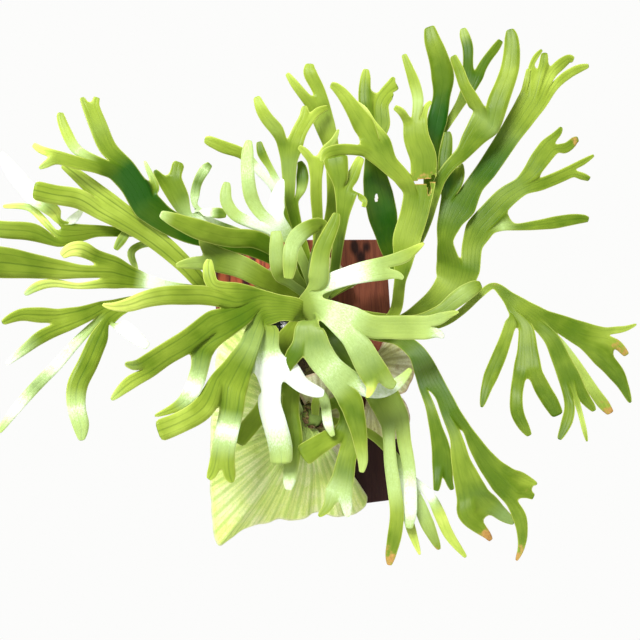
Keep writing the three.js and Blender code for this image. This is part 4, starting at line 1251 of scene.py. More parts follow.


# Row shades are low where other fronds cast shadow on a lobe, as on the dark parts of frond_far_left_dark,
# which paints that shadow into the colour; the bloom values paint the glare of the light over the pale
# felted hairs.
FRONDS: dict[str, Frond] = {
    "frond_star": frond(MAIN_CROWN, 97, 12, [[-46, 56, 122, 13, 0.45, 0.1], [-41, 60, 144, 20, 0.5, 0.15],
        [-31, 63, 160, 34, 0.5, 0.25]],
        blade([[-26, 84, 168, 20, 0.5, 0.25], [-23, 98, 174, 18], [-20, 113, 178, 16, 0.48, 0.1],
            [-13, 127, 181, 14, 0.45, 0], [-6, 140, 183, 11], [-3, 149, 184, 6]]),
        blade([[-14, 84, 170, 16, 0.65, 0.7], [2, 89, 176, 17, 0.7, 0.92], [20, 93, 180, 20, 0.7, 0.7],
            [40, 96, 182, 22, 0.55, 0.35]],
          blade([[62, 107, 182, 13, 0.6, 0.25], [74, 114, 180, 8, 0.65, 0.1], [84, 120, 178, 2, 0.8, 0]]),
          blade([[53, 90, 184, 8, 0.6, 0.4], [60, 86, 185, 3]], web=9), web=9),
        blade([[-14, 55, 172, 24, 0.6, 0.65], [2, 45, 182, 34, 0.6, 0.6]],
          blade([[22, 42, 188, 22, 0.6, 0.3], [42, 40, 190, 22, 0.55], [62, 39, 189, 23, 0.58],
              [80, 38, 187, 23, 0.65, 0.4]],
            blade([[95, 46, 184, 12], [106, 50, 182, 7, 0.7, 0.3], [116, 52, 180, 2, 0.8, 0.2]]),
            blade([[90, 33, 186, 10, 0.7, 0.7], [98, 28, 185, 3, 0.7, 0.8]], web=8)),
          blade([[10, 24, 188, 24, 0.48, 0.4], [18, 8, 190, 26, 0.42, 0.3], [25, -4, 190, 27, 0.42, 0.12]],
            blade([[20, -15, 190, 9, 0.75, 0.1], [15, -24, 190, 2, 0.9, 0]]),
            blade([[37, -11, 190, 13, 0.5, 0.3], [44, -15, 190, 7]], web=8), web=24), web=14),
        blade([[-37, 46, 160, 24, 0.45, 0.2], [-36, 34, 162, 31, 0.42, 0.2]],
          blade([[-51, 21, 158, 15, 0.32, 0.05], [-59, 10, 152, 11, 0.28, 0], [-64, 1, 146, 6]]),
          blade([[-29, 20, 164, 27, 0.42, 0.35], [-19, 5, 167, 25, 0.45, 0.6],
              [-6, -9, 169, 29, 0.42, 0.4]],
            blade([[-2, -24, 169, 23, 0.34, 0.05], [2, -39, 168, 19, 0.34, 0], [5, -55, 165, 15, 0.42],
                [6, -68, 161, 12, 0.6, 0.1], [7, -82, 157, 9, 0.75, 0.35], [5, -91, 153, 4]]),
            blade([[14, -13, 170, 20, 0.55, 0.75], [29, -17, 170, 17, 0.6], [44, -14, 168, 12, 0.65, 0.7],
                [54, -7, 166, 8, 0.7, 0.5], [61, 0, 165, 4, 0.7, 0.3]], web=12), web=20), web=15)),
    "frond_middle": frond(MAIN_CROWN, 105, 8, [[-14, 80, 128, 8, 0.4, 0.2], [-8, 98, 142, 9, 0.36, 0.1],
        [-5, 114, 152, 10], [-1, 131, 160, 11, 0.38, 0], [3, 147, 168, 12], [6, 161, 172, 18],
        [8, 171, 174, 23, 0.4]],
        blade([[2, 182, 176, 17], [0, 194, 178, 22, 0.42], [-1, 203, 178, 24]]),
        blade([[15, 183, 175, 12, 0.45], [20, 194, 176, 10, 0.6], [25, 203, 176, 8, 0.7]]),
        blade([[21, 165, 174, 7, 0.5], [26, 161, 176, 6], [24, 155, 177, 4]]), veined=0.2),
    "frond_left_front": frond(MAIN_CROWN, 97, 12, [[-41, 57, 138, 18, 0.45, 0.1],
        [-48, 60, 151, 22, 0.45, 0.05], [-61, 62, 154, 23, 0.4, 0], [-78, 62, 155, 34, 0.35]],
        blade([[-100, 74, 163, 24, 0.4]],
          blade([[-121, 84, 168, 12, 0.55], [-124, 94, 168, 11], [-124, 102, 166, 9, 0.7],
              [-123, 107, 166, 4]]),
          blade([[-126, 75, 170, 17, 0.5], [-144, 76, 180, 17, 0.6], [-164, 76, 190, 16, 0.7],
              [-180, 73, 200, 14, 0.8], [-192, 69, 208, 12, 0.88], [-204, 68, 214, 7, 0.95],
              [-213, 70, 217, 2]], web=28)),
        blade([[-100, 56, 164, 22, 0.35], [-120, 48, 172, 30, 0.38]],
          blade([[-144, 37, 184, 20, 0.4], [-164, 26, 196, 19, 0.45], [-180, 16, 206, 20]],
            blade([[-189, 18, 212, 9, 0.5, 0.2], [-197, 20, 216, 3]]),
            blade([[-194, 4, 214, 12, 0.6, 0], [-209, -9, 220, 3, 0.6, 0.3]], web=9)),
          blade([[-131, 30, 176, 19, 0.38], [-136, 12, 186, 15, 0.4, 0.3], [-142, -4, 192, 15, 0.4, 0.85],
              [-150, -15, 196, 12, 0.45, 0.5], [-162, -21, 200, 7, 0.6, 0], [-175, -25, 202, 2, 0.65, 0.1]],
            web=35), web=42),
        blade([[-85, 44, 160, 17, 0.4, 0.2], [-92, 28, 166, 20, 0.45, 0.3], [-102, 12, 175, 26, 0.38, 0.05],
            [-112, -4, 185, 35, 0.42, 0]],
          blade([[-134, -21, 196, 20, 0.6], [-154, -32, 204, 18, 0.65], [-173, -38, 210, 19, 0.6]]),
          blade([[-110, -24, 186, 21, 0.36, 0.05], [-115, -42, 184, 20, 0.35, 0.85],
              [-119, -58, 180, 20, 0.45, 0.4], [-121, -70, 176, 22, 0.6, 0]],
            blade([[-130, -78, 174, 9], [-133, -82, 173, 4]]),
            blade([[-115, -80, 174, 11], [-113, -87, 173, 3]]), web=24), web=16),
        blade([[-72, 45, 156, 15, 0.42, 0.05], [-76, 28, 154, 21, 0.45, 0.45],
            [-74, 12, 152, 30, 0.6, 0.95], [-66, 0, 150, 40]],
          blade([[-77, -20, 148, 20], [-73, -40, 144, 21, 0.55, 0.9], [-69, -60, 138, 21, 0.55, 0.6],
              [-69, -76, 134, 19, 0.65, 0.3]]),
          blade([[-45, -9, 148, 14, 0.6, 1], [-33, -15, 148, 11], [-26, -17, 148, 6]], web=9), web=54),
        veined=0.6),
    "frond_left_band": frond(MAIN_CROWN, 82, 10, [[-56, 78, 102, 16, 0.55], [-76, 89, 126, 18, 0.5],
        [-96, 100, 136, 20, 0.55, 0.25], [-114, 106, 142, 22, 0.5, 0.1]],
        blade([[-134, 104, 146, 12, 0.55, 0.3], [-152, 102, 150, 3, 0.6, 0.2]]),
        blade([[-125, 118, 146, 11, 0.5], [-130, 126, 148, 3, 0.6]], web=18)),
    "frond_left_finger": frond(MAIN_CROWN, 101, 8, [[-52, 84, 130, 8, 0.54, 0.3],
        [-62, 92, 144, 11, 0.44, 0.1], [-63, 106, 152, 13, 0.49, 0.35], [-62, 120, 156, 13],
        [-62, 132, 156, 9, 0.54, 0.4]]),
    "frond_left_long": frond(MAIN_CROWN, 93, 9, [[-46, 89, 109, 10, 0.5, 0.2], [-58, 110, 124, 14, 0.4, 0],
        [-80, 124, 140, 16, 0.3], [-105, 126, 154, 17, 0.45], [-130, 133, 168, 18, 0.5],
        [-150, 141, 176, 13], [-163, 147, 180, 6, 0.7, 0.6]]),
    "frond_far_left_dark": frond(MAIN_CROWN, 76, 9, [[-58, 100, 94, 10, 0.15], [-85, 116, 108, 14],
        [-115, 124, 122, 17, 0.1], [-140, 132, 134, 21, 0.05], [-160, 142, 144, 22], [-174, 154, 152, 26]],
        blade([[-184, 171, 160, 22], [-193, 184, 166, 24, 0.05]],
          blade([[-203, 202, 172, 15, 0.42], [-210, 220, 176, 15, 0.5, 0.15], [-216, 238, 178, 14, 0.5, 0]],
            blade([[-223, 246, 178, 4]]),
            blade([[-211, 247, 178, 5]])),
          blade([[-212, 188, 172, 14, 0.35]],
            blade([[-228, 200, 176, 9, 0.55, 0.6], [-236, 215, 178, 9, 0.65, 0], [-240, 228, 178, 7],
                [-240, 232, 178, 4]]),
            blade([[-230, 190, 176, 11, 0.48], [-244, 194, 180, 11, 0.5, 0.1]],
              blade([[-255, 199, 182, 7, 0.9, 0], [-262, 204, 182, 4, 1]]),
              blade([[-252, 188, 182, 6, 0.6, 0.2], [-258, 184, 182, 2, 0.6, 0.3]], web=9), web=15),
            web=19)),
        blade([[-165, 170, 152, 6, 0.45], [-170, 182, 152, 5, 0.6, 0.4], [-174, 193, 152, 2, 0.7, 0.6]],
          web=20)),
    "frond_far_left_light": frond(MAIN_CROWN, 71, 9, [[-70, 69, 89, 10, 0.35], [-100, 72, 102, 12],
        [-128, 84, 116, 13, 0.5], [-143, 101, 124, 15, 0.62], [-160, 118, 130, 17], [-176, 131, 136, 18],
        [-194, 144, 144, 22, 0.62], [-209, 154, 150, 26, 0.66]],
        blade([[-220, 171, 156, 13], [-230, 180, 160, 10], [-240, 188, 162, 6, 0.7]]),
        blade([[-228, 159, 158, 17, 0.66], [-246, 162, 166, 16, 0.6], [-263, 166, 172, 16, 0.55]], web=16),
        veined=0.8),
    "frond_far_left_low": frond(MAIN_CROWN, 57, 8, [[-70, 76, 68, 7], [-100, 80, 78, 8, 0.4],
        [-128, 87, 90, 8, 0.5], [-144, 102, 100, 11, 0.55], [-160, 118, 110, 16, 0.6]],
        blade([[-180, 130, 118, 8, 0.55], [-197, 131, 126, 8, 0.35], [-216, 132, 134, 10, 0.4, 0, 0.1],
            [-232, 130, 144, 16, 0.45, 0, 0], [-244, 130, 150, 23, 0.5]],
          blade([[-264, 131, 158, 15], [-286, 133, 168, 14, 0.5, 0.1], [-308, 137, 176, 12, 0.55, 0.2],
              [-326, 142, 182, 6]]),
          blade([[-258, 143, 147, 6, 0.95, 0], [-267, 152, 145, 6, 0.7, 0.5], [-286, 152, 146, 3, 1, 0]]),
          blade([[-246, 146, 152, 11, 0.95, 0], [-262, 160, 158, 14, 0.7, 0.9], [-276, 178, 162, 13],
              [-287, 196, 162, 5, 0.6, 0.8]]),
          blade([[-233, 142, 146, 7, 0.7, 1], [-226, 150, 146, 3]])),
        blade([[-171, 121, 110, 6, 0.6, 0.5], [-183, 119, 108, 6, 0.5, 0.1], [-189, 113, 108, 7, 0.65, 0.3],
            [-186, 103, 108, 5], [-184, 96, 108, 2, 0.6, 0.2]]),
        blade([[-173, 134, 124, 6, 0.55, 0.3], [-187, 135, 131, 7, 0.6, 0.35],
            [-196, 124, 134, 8, 0.45, 0.1], [-201, 116, 134, 4]]), veined=0.5),
    "frond_left_middle": frond(MAIN_CROWN, 66, 8, [[-90, 74, 84, 9, 0.45], [-130, 79, 97, 9, 0.5, 0.1],
        [-158, 84, 107, 8, 0.65, 0.7], [-174, 88, 116, 11, 0.7, 1], [-188, 92, 124, 18, 0.5, 0],
        [-204, 97, 134, 28]],
        blade([[-217, 111, 144, 11, 0.35], [-228, 117, 152, 14, 0.85], [-237, 116, 156, 11, 0.98],
            [-243, 111, 158, 5]]),
        blade([[-228, 98, 148, 11, 0.55], [-246, 100, 158, 16], [-264, 103, 168, 20, 0.5],
            [-284, 106, 178, 25, 0.45], [-304, 108, 188, 27, 0.55], [-317, 110, 194, 18, 0.7]], web=23),
        blade([[-232, 86, 146, 5, 0.9, 0.2], [-250, 89, 156, 7, 0.85], [-262, 87, 162, 8],
            [-272, 80, 164, 3, 0.6, 0.6]], web=12), veined=0.8),
    "frond_left_low": frond(MAIN_CROWN, 61, 8, [[-60, 64, 68, 8], [-90, 67, 76, 8],
        [-130, 72, 88, 8, 0.5, 0.1], [-165, 75, 100, 8], [-186, 72, 110, 10, 0.6, 0],
        [-201, 67, 118, 15, 0.5], [-210, 63, 123, 22, 0.42]],
        blade([[-226, 63, 132, 14], [-244, 58, 142, 20, 0.55]],
          blade([[-260, 63, 152, 13, 0.6], [-276, 64, 160, 10, 0.5], [-289, 58, 166, 4, 0.4]]),
          blade([[-260, 46, 150, 11, 0.45], [-272, 37, 156, 8, 0.5, 0.5], [-287, 25, 162, 3, 0.6, 0.9]],
            web=12)),
        blade([[-234, 40, 132, 8, 0.5, 0.7], [-250, 22, 142, 9, 0.4, 0.8], [-266, 6, 150, 9, 0.2, 0.4],
            [-281, -11, 156, 8, 0.5, 0.9], [-294, -28, 160, 4, 0.6, 0.4]], web=14),
        blade([[-217, 42, 130, 15, 0.38], [-226, 22, 138, 16, 0.48], [-235, 4, 142, 16, 0.55, 0.1],
            [-236, -14, 142, 14, 0.6, 0.7], [-233, -28, 140, 13, 0.6, 0.45], [-233, -40, 138, 4]], web=14),
        blade([[-199, 52, 122, 12, 0.6, 0.95], [-189, 43, 124, 12], [-178, 33, 126, 6, 0.5, 0.8]]),
        veined=0.7),
    "frond_pale": frond(MAIN_CROWN, 98.5, 8, [[-40, 108, 123, 9, 0.55, 0.3], [-50, 126, 130, 12, 0.52, 0.5],
        [-62, 137, 138, 22, 0.6, 0.85]],
        blade([[-60, 152, 142, 15], [-58, 166, 144, 12], [-53, 180, 144, 3]]),
        blade([[-76, 149, 144, 11, 0.6, 0.5], [-83, 163, 148, 13, 0.48, 0.35],
            [-85, 186, 152, 12, 0.5, 0.6], [-84, 204, 154, 11, 0.52, 0.5], [-82, 215, 154, 5, 0.6, 0.5]]),
        blade([[-86, 140, 144, 10, 0.6, 0.8], [-99, 147, 148, 11, 0.55, 0.4], [-106, 160, 150, 11],
            [-105, 170, 150, 9, 0.55, 0.4], [-104, 176, 150, 5]]), veined=0.05),
    "frond_hook": frond(MAIN_CROWN, 105, 8, [[-30, 98, 131, 8, 0.5, 0.5], [-22, 120, 142, 10, 0.55, 0.2],
        [-17, 137, 148, 13, 0.45, 0.05], [-28, 136, 156, 14], [-41, 128, 162, 16, 0.45, 0.45],
        [-49, 115, 166, 14], [-51, 100, 166, 13, 0.4, 0.2], [-53, 88, 164, 8, 0.5, 0.2]], veined=0.05),
    "frond_up_left": frond(MAIN_CROWN, 84, 8, [[-36, 112, 100, 9, 0.42], [-42, 136, 112, 10, 0.37],
        [-46, 158, 122, 12, 0.27]],
        blade([[-47, 178, 132, 12, 0.52, 0.2], [-46, 196, 140, 15, 0.47], [-44, 212, 146, 24, 0.42, 0]],
          blade([[-55, 225, 150, 13, 0.57, 0.15], [-63, 234, 152, 12], [-69, 244, 154, 11, 0.62, 0],
              [-73, 256, 154, 6]]),
          blade([[-34, 226, 150, 14, 0.57], [-27, 237, 152, 14]],
            blade([[-28, 247, 153, 7], [-28, 250, 153, 3]]),
            blade([[-16, 245, 153, 8, 0.62], [-5, 250, 153, 4]]))),
        blade([[-36, 170, 128, 9, 0.52, 0.3], [-34, 182, 130, 12, 0.27, 0], [-34, 191, 130, 9],
            [-36, 197, 130, 4, 0.32]])),
    "frond_up_tall": frond(MAIN_CROWN, 78, 8, [[-16, 125, 92, 9, 0.43], [-7, 155, 104, 11],
        [-4, 185, 116, 13, 0.53], [-4, 210, 126, 14], [-9, 232, 136, 19, 0.63, 0.2],
        [-15, 252, 144, 22, 0.58, 0.05]],
        blade([[-14, 268, 148, 12, 0.53, 0], [-21, 283, 150, 13], [-20, 291, 150, 7]]),
        blade([[-36, 270, 148, 8, 0.63], [-43, 280, 148, 4, 0.68]])),
    "frond_up_fork": frond(MAIN_CROWN, 92, 8, [[-24, 116, 108, 8], [-22, 145, 128, 10], [-22, 165, 140, 11],
        [-21, 181, 148, 11, 0.6], [-20, 196, 153, 15, 0.68]],
        blade([[-29, 205, 156, 8, 0.7], [-36, 211, 157, 4]]),
        blade([[-11, 208, 156, 9, 0.7, 0.1], [-2, 217, 157, 6, 0.7, 0.2], [4, 229, 157, 2, 0.65]])),
    "frond_up_thin": frond(MAIN_CROWN, 72, 7, [[-44, 120, 85, 8, 0.4], [-52, 150, 94, 9],
        [-60, 174, 104, 12, 0.6, 0.9]],
        blade([[-77, 190, 110, 8, 0.65, 0.8], [-88, 202, 114, 10, 0.58, 0], [-106, 208, 118, 11, 0.62],
            [-118, 213, 120, 9, 0.7], [-122, 214, 120, 5]]),
        blade([[-65, 192, 110, 6, 0.6, 0.2], [-71, 203, 112, 9, 0.4, 0], [-73, 214, 112, 5]])),
    "frond_olive": frond(MAIN_CROWN, 65, 8, [[-62, 112, 77, 8], [-92, 128, 92, 9],
        [-120, 138, 102, 11, 0.52, 0.9], [-136, 147, 108, 18, 0.52, 0.6]],
        blade([[-147, 162, 112, 18, 0.42, 0.1, 0.15], [-153, 175, 114, 20, 0.4, 0, 0]],
          blade([[-146, 190, 116, 11, 0.37], [-145, 193, 116, 6]]),
          blade([[-164, 182, 116, 6, 0.27], [-166, 185, 116, 3, 0.22]], web=10)),
        blade([[-133, 162, 112, 8, 0.22], [-130, 175, 114, 8, 0.27, 0.15], [-123, 187, 116, 9, 0.27, 0.6],
            [-118, 192, 116, 5, 0.32, 0.1]], web=20),
        blade([[-122, 148, 112, 8, 0.52, 0.9], [-112, 148, 114, 10, 0.32, 0.1],
            [-106, 147, 114, 6, 0.42]])),
    "frond_ragged": frond(MAIN_CROWN, 91, 9, [[6, 46, 112, 9, 0.47], [32, 42, 126, 9], [48, 53, 134, 11],
        [56, 83, 144, 11], [61, 102, 150, 18], [66, 124, 156, 27, 0.52, 0.1], [75, 146, 160, 27, 0.47, 0],
        [81, 165, 163, 28]],
        blade([[66, 184, 168, 16], [53, 197, 171, 18, 0.45], [42, 213, 173, 30, 0.42]],
          blade([[38, 238, 176, 7, 0.67], [31, 249, 177, 8, 0.82, 0.3], [22, 257, 177, 4]]),
          blade([[30, 234, 175, 21, 0.47], [20, 250, 177, 15, 0.52], [12, 262, 178, 12, 0.62],
              [4, 270, 178, 9], [-1, 272, 178, 5]], web=10),
          blade([[18, 210, 171, 10, 0.47], [2, 209, 170, 11], [-10, 205, 169, 11, 0.52],
              [-14, 197, 168, 5, 0.57]], web=18)),
        blade([[89, 188, 168, 25, 0.42, 0, 0.3], [90, 205, 173, 26, 0.49, 0.05, 0],
            [84, 224, 177, 25, 0.52], [84, 240, 179, 23, 0.57]],
          blade([[97, 256, 181, 6, 0.67], [103, 262, 181, 3, 0.72]]),
          blade([[89, 262, 181, 11, 0.57, 0.4], [86, 280, 183, 11, 0.52, 0.1], [81, 296, 184, 8, 0.57, 0],
              [77, 308, 184, 5]], web=8),
          blade([[71, 249, 181, 8, 0.59], [63, 254, 181, 5, 0.62]], web=8), web=28),
        veined=0.12, bites=([90, 181, 167, 12, 2], [92, 174, 165, 1.8, 7], [98, 184, 168, 2, 3])),
    "frond_shaded": frond(MAIN_CROWN, 71, 9, [[6, 90, 83, 10, 0.26], [32, 96, 93, 10],
        [47, 104, 102, 12, 0.2], [46, 122, 112, 19, 0.15], [43, 147, 126, 28, 0.09], [40, 167, 132, 28],
        [38, 182, 136, 24, 0.14], [36, 198, 138, 15, 0.26], [41, 218, 142, 14, 0.46],
        [46, 237, 146, 22, 0.51]],
        blade([[33, 255, 148, 13, 0.36], [33, 268, 148, 12], [35, 282, 148, 10, 0.61],
            [36, 290, 148, 5, 0.66]]),
        blade([[49, 256, 149, 15, 0.56], [56, 267, 150, 15]],
          blade([[63, 281, 150, 6], [64, 284, 150, 3]]),
          blade([[68, 275, 150, 6]]),
          blade([[62, 264, 150, 6]]), web=32), veined=0.5, bites=([38, 164, 131, 1.5, 4],)),
    "frond_tall_dark": frond(MAIN_CROWN, 64, 9, [[24, 92, 75, 10, 0.46], [60, 104, 90, 12],
        [82, 132, 102, 13], [94, 165, 116, 14], [98, 200, 127, 15, 0.26], [102, 222, 133, 16, 0.11],
        [108, 243, 139, 20, 0.06], [115, 268, 146, 17, 0.11], [118, 288, 152, 23, 0.26],
        [114, 310, 156, 19, 0.41], [109, 326, 158, 16, 0.46], [107, 339, 158, 10]]),
    "frond_tall_fork": frond(MAIN_CROWN, 59, 8, [[26, 92, 68, 8, 0.35], [64, 106, 82, 8], [88, 150, 96, 8],
        [96, 190, 110, 7], [101, 214, 118, 7, 0.45], [118, 238, 128, 7, 0.5], [134, 260, 138, 9, 0.5, 0.1],
        [146, 278, 146, 15, 0.2, 0], [152, 292, 150, 22, 0.05]],
        blade([[148, 308, 152, 10], [149, 322, 154, 11, 0.05], [146, 334, 154, 10, 0.5, 0.2],
            [145, 341, 154, 5]]),
        blade([[163, 301, 152, 10, 0.15], [172, 313, 154, 9, 0.2], [181, 323, 156, 9, 0.3],
            [188, 332, 156, 6]], web=11)),
    "frond_tall_front": frond(MAIN_CROWN, 85, 9, [[20, 92, 102, 9, 0.38], [58, 102, 120, 10],
        [84, 134, 138, 11], [98, 165, 153, 11], [107, 184, 160, 11], [120, 199, 165, 12],
        [134, 211, 170, 15, 0.33], [147, 227, 175, 23], [163, 244, 180, 33, 0.38, 0.25]],
        blade([[150, 266, 184, 13, 0.43, 0], [142, 280, 186, 11], [137, 296, 186, 10, 0.48],
            [131, 311, 186, 7, 0.53]]),
        blade([[178, 264, 186, 22, 0.38, 0], [188, 284, 190, 20, 0.43], [196, 302, 192, 19, 0.48],
            [200, 320, 194, 17, 0.43], [201, 336, 194, 14, 0.38], [200, 345, 194, 7]], web=19)),
    "frond_right": frond(MAIN_CROWN, 81.5, 10, [[18, 46, 90, 12, 0.45], [52, 42, 104, 17],
        [86, 56, 116, 27, 0.5], [112, 78, 124, 36, 0.55, 0.15], [119, 96, 130, 43, 0.35, 0]],
        blade([[107, 121, 136, 15, 0.3], [113, 140, 142, 24, 0.25], [124, 158, 146, 36, 0.22]],
          blade([[112, 180, 146, 12, 0.1], [112, 196, 147, 13, 0.3], [115, 212, 148, 13],
              [118, 226, 148, 10, 0.38], [118, 232, 148, 6]]),
          blade([[127, 180, 149, 8, 0.2], [130, 191, 150, 8, 0.35], [131, 200, 150, 4]], web=36),
          blade([[144, 178, 150, 19, 0.2], [158, 193, 154, 21, 0.08], [172, 210, 158, 22, 0.15],
              [188, 230, 162, 23, 0.3, 0.15], [206, 252, 166, 27, 0.5, 0], [222, 272, 170, 31, 0.58]],
            blade([[216, 292, 172, 7, 0.62], [219, 304, 172, 5]]),
            blade([[220, 302, 171, 5], [229, 318, 171, 6], [237, 326, 171, 3]], web=26),
            blade([[232, 298, 174, 9, 0.58], [238, 312, 175, 9, 0.45], [240, 323, 175, 7]], web=34),
            blade([[246, 300, 174, 11, 0.6], [258, 311, 175, 12, 0.55], [270, 319, 176, 10],
                [276, 318, 176, 5]], web=42),
            blade([[248, 286, 174, 9, 0.6], [265, 300, 176, 10], [282, 309, 178, 9],
                [295, 313, 178, 4, 0.65]], web=28), web=14)),
        blade([[136, 116, 138, 20, 0.45], [146, 134, 144, 28, 0.4]],
          blade([[160, 150, 150, 23, 0.3], [178, 166, 156, 22, 0.4, 0.1], [198, 178, 162, 19, 0.4, 0.15]],
            blade([[210, 192, 166, 17, 0.4, 0], [222, 206, 169, 20], [236, 221, 172, 21, 0.45]],
              blade([[248, 236, 174, 8], [253, 243, 174, 3]]),
              blade([[258, 221, 174, 11, 0.42, 0, 0.1], [268, 229, 175, 9, 0.4, 0, 0.45],
                  [273, 231, 175, 5]], web=14)),
            blade([[222, 181, 166, 13, 0.4, 0], [244, 189, 170, 13], [261, 196, 174, 13, 0.42]],
              blade([[276, 206, 176, 7], [291, 214, 178, 3, 0.5]]),
              blade([[273, 191, 176, 8], [283, 188, 177, 5, 0.3]]), web=24)),
          blade([[172, 136, 148, 8, 0.55, 0.5], [190, 136, 152, 7, 0.42, 0.1], [212, 138, 158, 10, 0.4, 0],
              [236, 141, 162, 13], [256, 144, 166, 12], [271, 145, 168, 9], [277, 144, 168, 5]], web=30),
          web=11), veined=0.4),
    "frond_right_small": frond(MAIN_CROWN, 88, 8, [[30, 50, 107, 9], [70, 46, 118, 10, 0.48],
        [98, 54, 130, 13, 0.48, 0.2], [112, 63, 136, 16], [124, 70, 140, 17, 0.48, 0.3],
        [136, 76, 142, 14, 0.43, 0.15], [143, 78, 142, 7, 0.38, 0]]),
    "frond_far_right": frond(MAIN_CROWN, 71, 9, [[30, 44, 82, 8], [70, 38, 96, 8], [100, 42, 108, 7],
        [122, 54, 118, 7, 0.55, 0.1], [142, 69, 126, 7, 0.5, 0.15, 0.1], [157, 77, 132, 7, 0.45, 0.1, 0.3],
        [171, 66, 138, 12, 0.38, 0, 0], [183, 54, 144, 22, 0.42]],
        blade([[173, 40, 148, 11, 0.5, 0.15], [166, 24, 152, 12, 0.45, 0], [156, 5, 156, 14, 0.4],
            [146, -12, 158, 14], [139, -26, 160, 10, 0.36], [133, -42, 160, 3, 0.3, 0, 0.3]]),
        blade([[189, 36, 150, 14, 0.42], [190, 14, 154, 19, 0.38], [188, -8, 157, 27, 0.36]],
          blade([[173, -32, 160, 12], [172, -50, 162, 13], [178, -64, 162, 11, 0.4], [184, -74, 162, 5]]),
          blade([[203, -28, 160, 16, 0.35], [211, -42, 162, 16], [219, -57, 162, 12, 0.3, 0, 0.2]], web=12),
          web=23),
        blade([[206, 42, 150, 22, 0.4]],
          blade([[218, 22, 156, 15], [228, 0, 160, 18], [237, -22, 164, 22, 0.37]],
            blade([[234, -48, 166, 10], [229, -64, 166, 11], [218, -81, 166, 4, 0.3, 0, 0.2]]),
            blade([[246, -58, 164, 5, 0.7, 0.2], [249, -74, 163, 5], [251, -86, 162, 2, 0.5, 0, 0.4]],
              web=22),
            blade([[251, -40, 166, 12, 0.36], [259, -50, 167, 9], [263, -56, 167, 4]], web=21)),
          blade([[231, 14, 151, 8, 0.75, 0.4], [248, -10, 152, 10, 0.72, 0.2], [262, -32, 152, 11],
              [275, -50, 152, 12, 0.65, 0.1, 0.3], [283, -60, 152, 7, 0.6, 0, 0.6]], web=28),
          blade([[238, 32, 156, 21, 0.38], [260, 22, 162, 27]],
            blade([[278, -2, 166, 19, 0.36], [294, -19, 168, 17], [303, -35, 168, 10],
                [309, -51, 168, 3, 0.3, 0, 0.3]]),
            blade([[284, 22, 166, 15, 0.5, 0.1]],
              blade([[300, 26, 168, 8, 0.65], [312, 27, 170, 6], [326, 31, 172, 2]]),
              blade([[299, 11, 168, 10, 0.55, 0, 0.4], [310, -1, 168, 6, 0.6, 0.1, 0.45]], web=12), web=34),
            web=28), web=19), veined=0.15),
    "frond_down_right": frond(MAIN_CROWN, 78, 10, [[20, 36, 92, 11, 0.5], [50, 29, 106, 13, 0.4],
        [68, 15, 116, 17, 0.2], [76, -2, 126, 22, 0.25], [81, -16, 132, 25, 0.2]],
        blade([[78, -36, 138, 9, 0.35], [82, -55, 142, 12, 0.3], [86, -75, 143, 17, 0.25],
            [87, -92, 143, 20, 0.3]],
          blade([[80, -108, 144, 8, 0.35], [78, -116, 144, 5]]),
          blade([[92, -107, 144, 8], [95, -117, 144, 4]], web=18)),
        blade([[92, -26, 138, 15, 0.2], [99, -44, 144, 18, 0.18]],
          blade([[103, -68, 150, 12, 0.45], [106, -90, 154, 18, 0.5], [111, -108, 156, 25],
              [116, -124, 157, 31, 0.4, 0.1]],
            blade([[108, -141, 158, 18, 0.45, 0], [118, -153, 159, 14, 0.5],
                [128, -163, 160, 8, 0.5, 0, 0.7], [132, -169, 160, 4]]),
            blade([[135, -135, 159, 17, 0.45], [147, -147, 160, 13, 0.3, 0.3], [159, -156, 160, 5]],
              web=29)),
          blade([[115, -61, 148, 9, 0.35], [126, -82, 152, 16], [139, -101, 156, 22, 0.38],
              [151, -114, 160, 29]],
            blade([[170, -113, 162, 11, 0.5], [188, -122, 164, 3, 0.6]]),
            blade([[160, -131, 162, 20, 0.4]],
              blade([[174, -129, 164, 10, 0.4, 0, 0.25], [183, -134, 165, 6]]),
              blade([[165, -150, 164, 14, 0.35], [167, -168, 165, 10, 0.4],
                  [164, -182, 166, 6, 0.55, 0, 0.45], [158, -192, 166, 2, 0.5, 0, 0.6]], web=10), web=30),
            web=24)), veined=0.2),
    "frond_down": frond(MAIN_CROWN, 72, 10, [[-16, 36, 72, 22, 0.25], [-4, 17, 84, 28, 0.28],
        [18, -6, 98, 26, 0.36, 0.15], [32, -26, 106, 30, 0.42, 0.1], [41, -46, 112, 28, 0.5, 0.25]],
        blade([[34, -66, 116, 11, 0.55, 0.4], [34, -86, 119, 12, 0.6, 0.5], [36, -110, 121, 13],
            [37, -132, 122, 13, 0.5, 0.1], [33, -152, 122, 13, 0.4, 0], [28, -168, 122, 10, 0.45, 0, 0.5],
            [26, -177, 122, 4]]),
        blade([[49, -66, 116, 13, 0.6, 0.3], [52, -90, 119, 12, 0.6, 0.5], [52, -112, 121, 12, 0.6, 0.8],
            [50, -132, 122, 13], [48, -147, 122, 6, 0.5, 0.5]]), veined=0.1),
    "frond_behind_left": frond(MAIN_CROWN, 73, 9, [[-50, 44, 84, 14], [-60, 30, 92, 20, 0.55],
        [-63, 12, 98, 24, 0.5], [-64, -6, 104, 32, 0.4]],
        blade([[-84, -28, 110, 15, 0.5], [-97, -42, 114, 16, 0.55], [-107, -54, 116, 13]]),
        blade([[-58, -32, 108, 15, 0.35], [-56, -55, 112, 15, 0.4], [-60, -76, 114, 14, 0.6, 0.2],
            [-63, -92, 114, 11, 0.6, 0.7], [-64, -99, 114, 5]], web=16)),
    "frond_low": frond(LOW_CROWN, 86, 8, [[-14, -26, 96, 11, 0.35], [-4, -34, 106, 17], [-2, -46, 112, 24],
        [-5, -56, 114, 29, 0.42]],
        blade([[-20, -56, 116, 16], [-35, -63, 118, 18, 0.5], [-50, -71, 120, 20]]),
        blade([[-8, -76, 116, 17, 0.4], [-13, -94, 118, 20, 0.4, 0.2], [-18, -107, 120, 25, 0.45, 0.55]],
          blade([[-29, -118, 121, 9, 0.5, 0.2], [-38, -125, 121, 3, 0.5, 0]]),
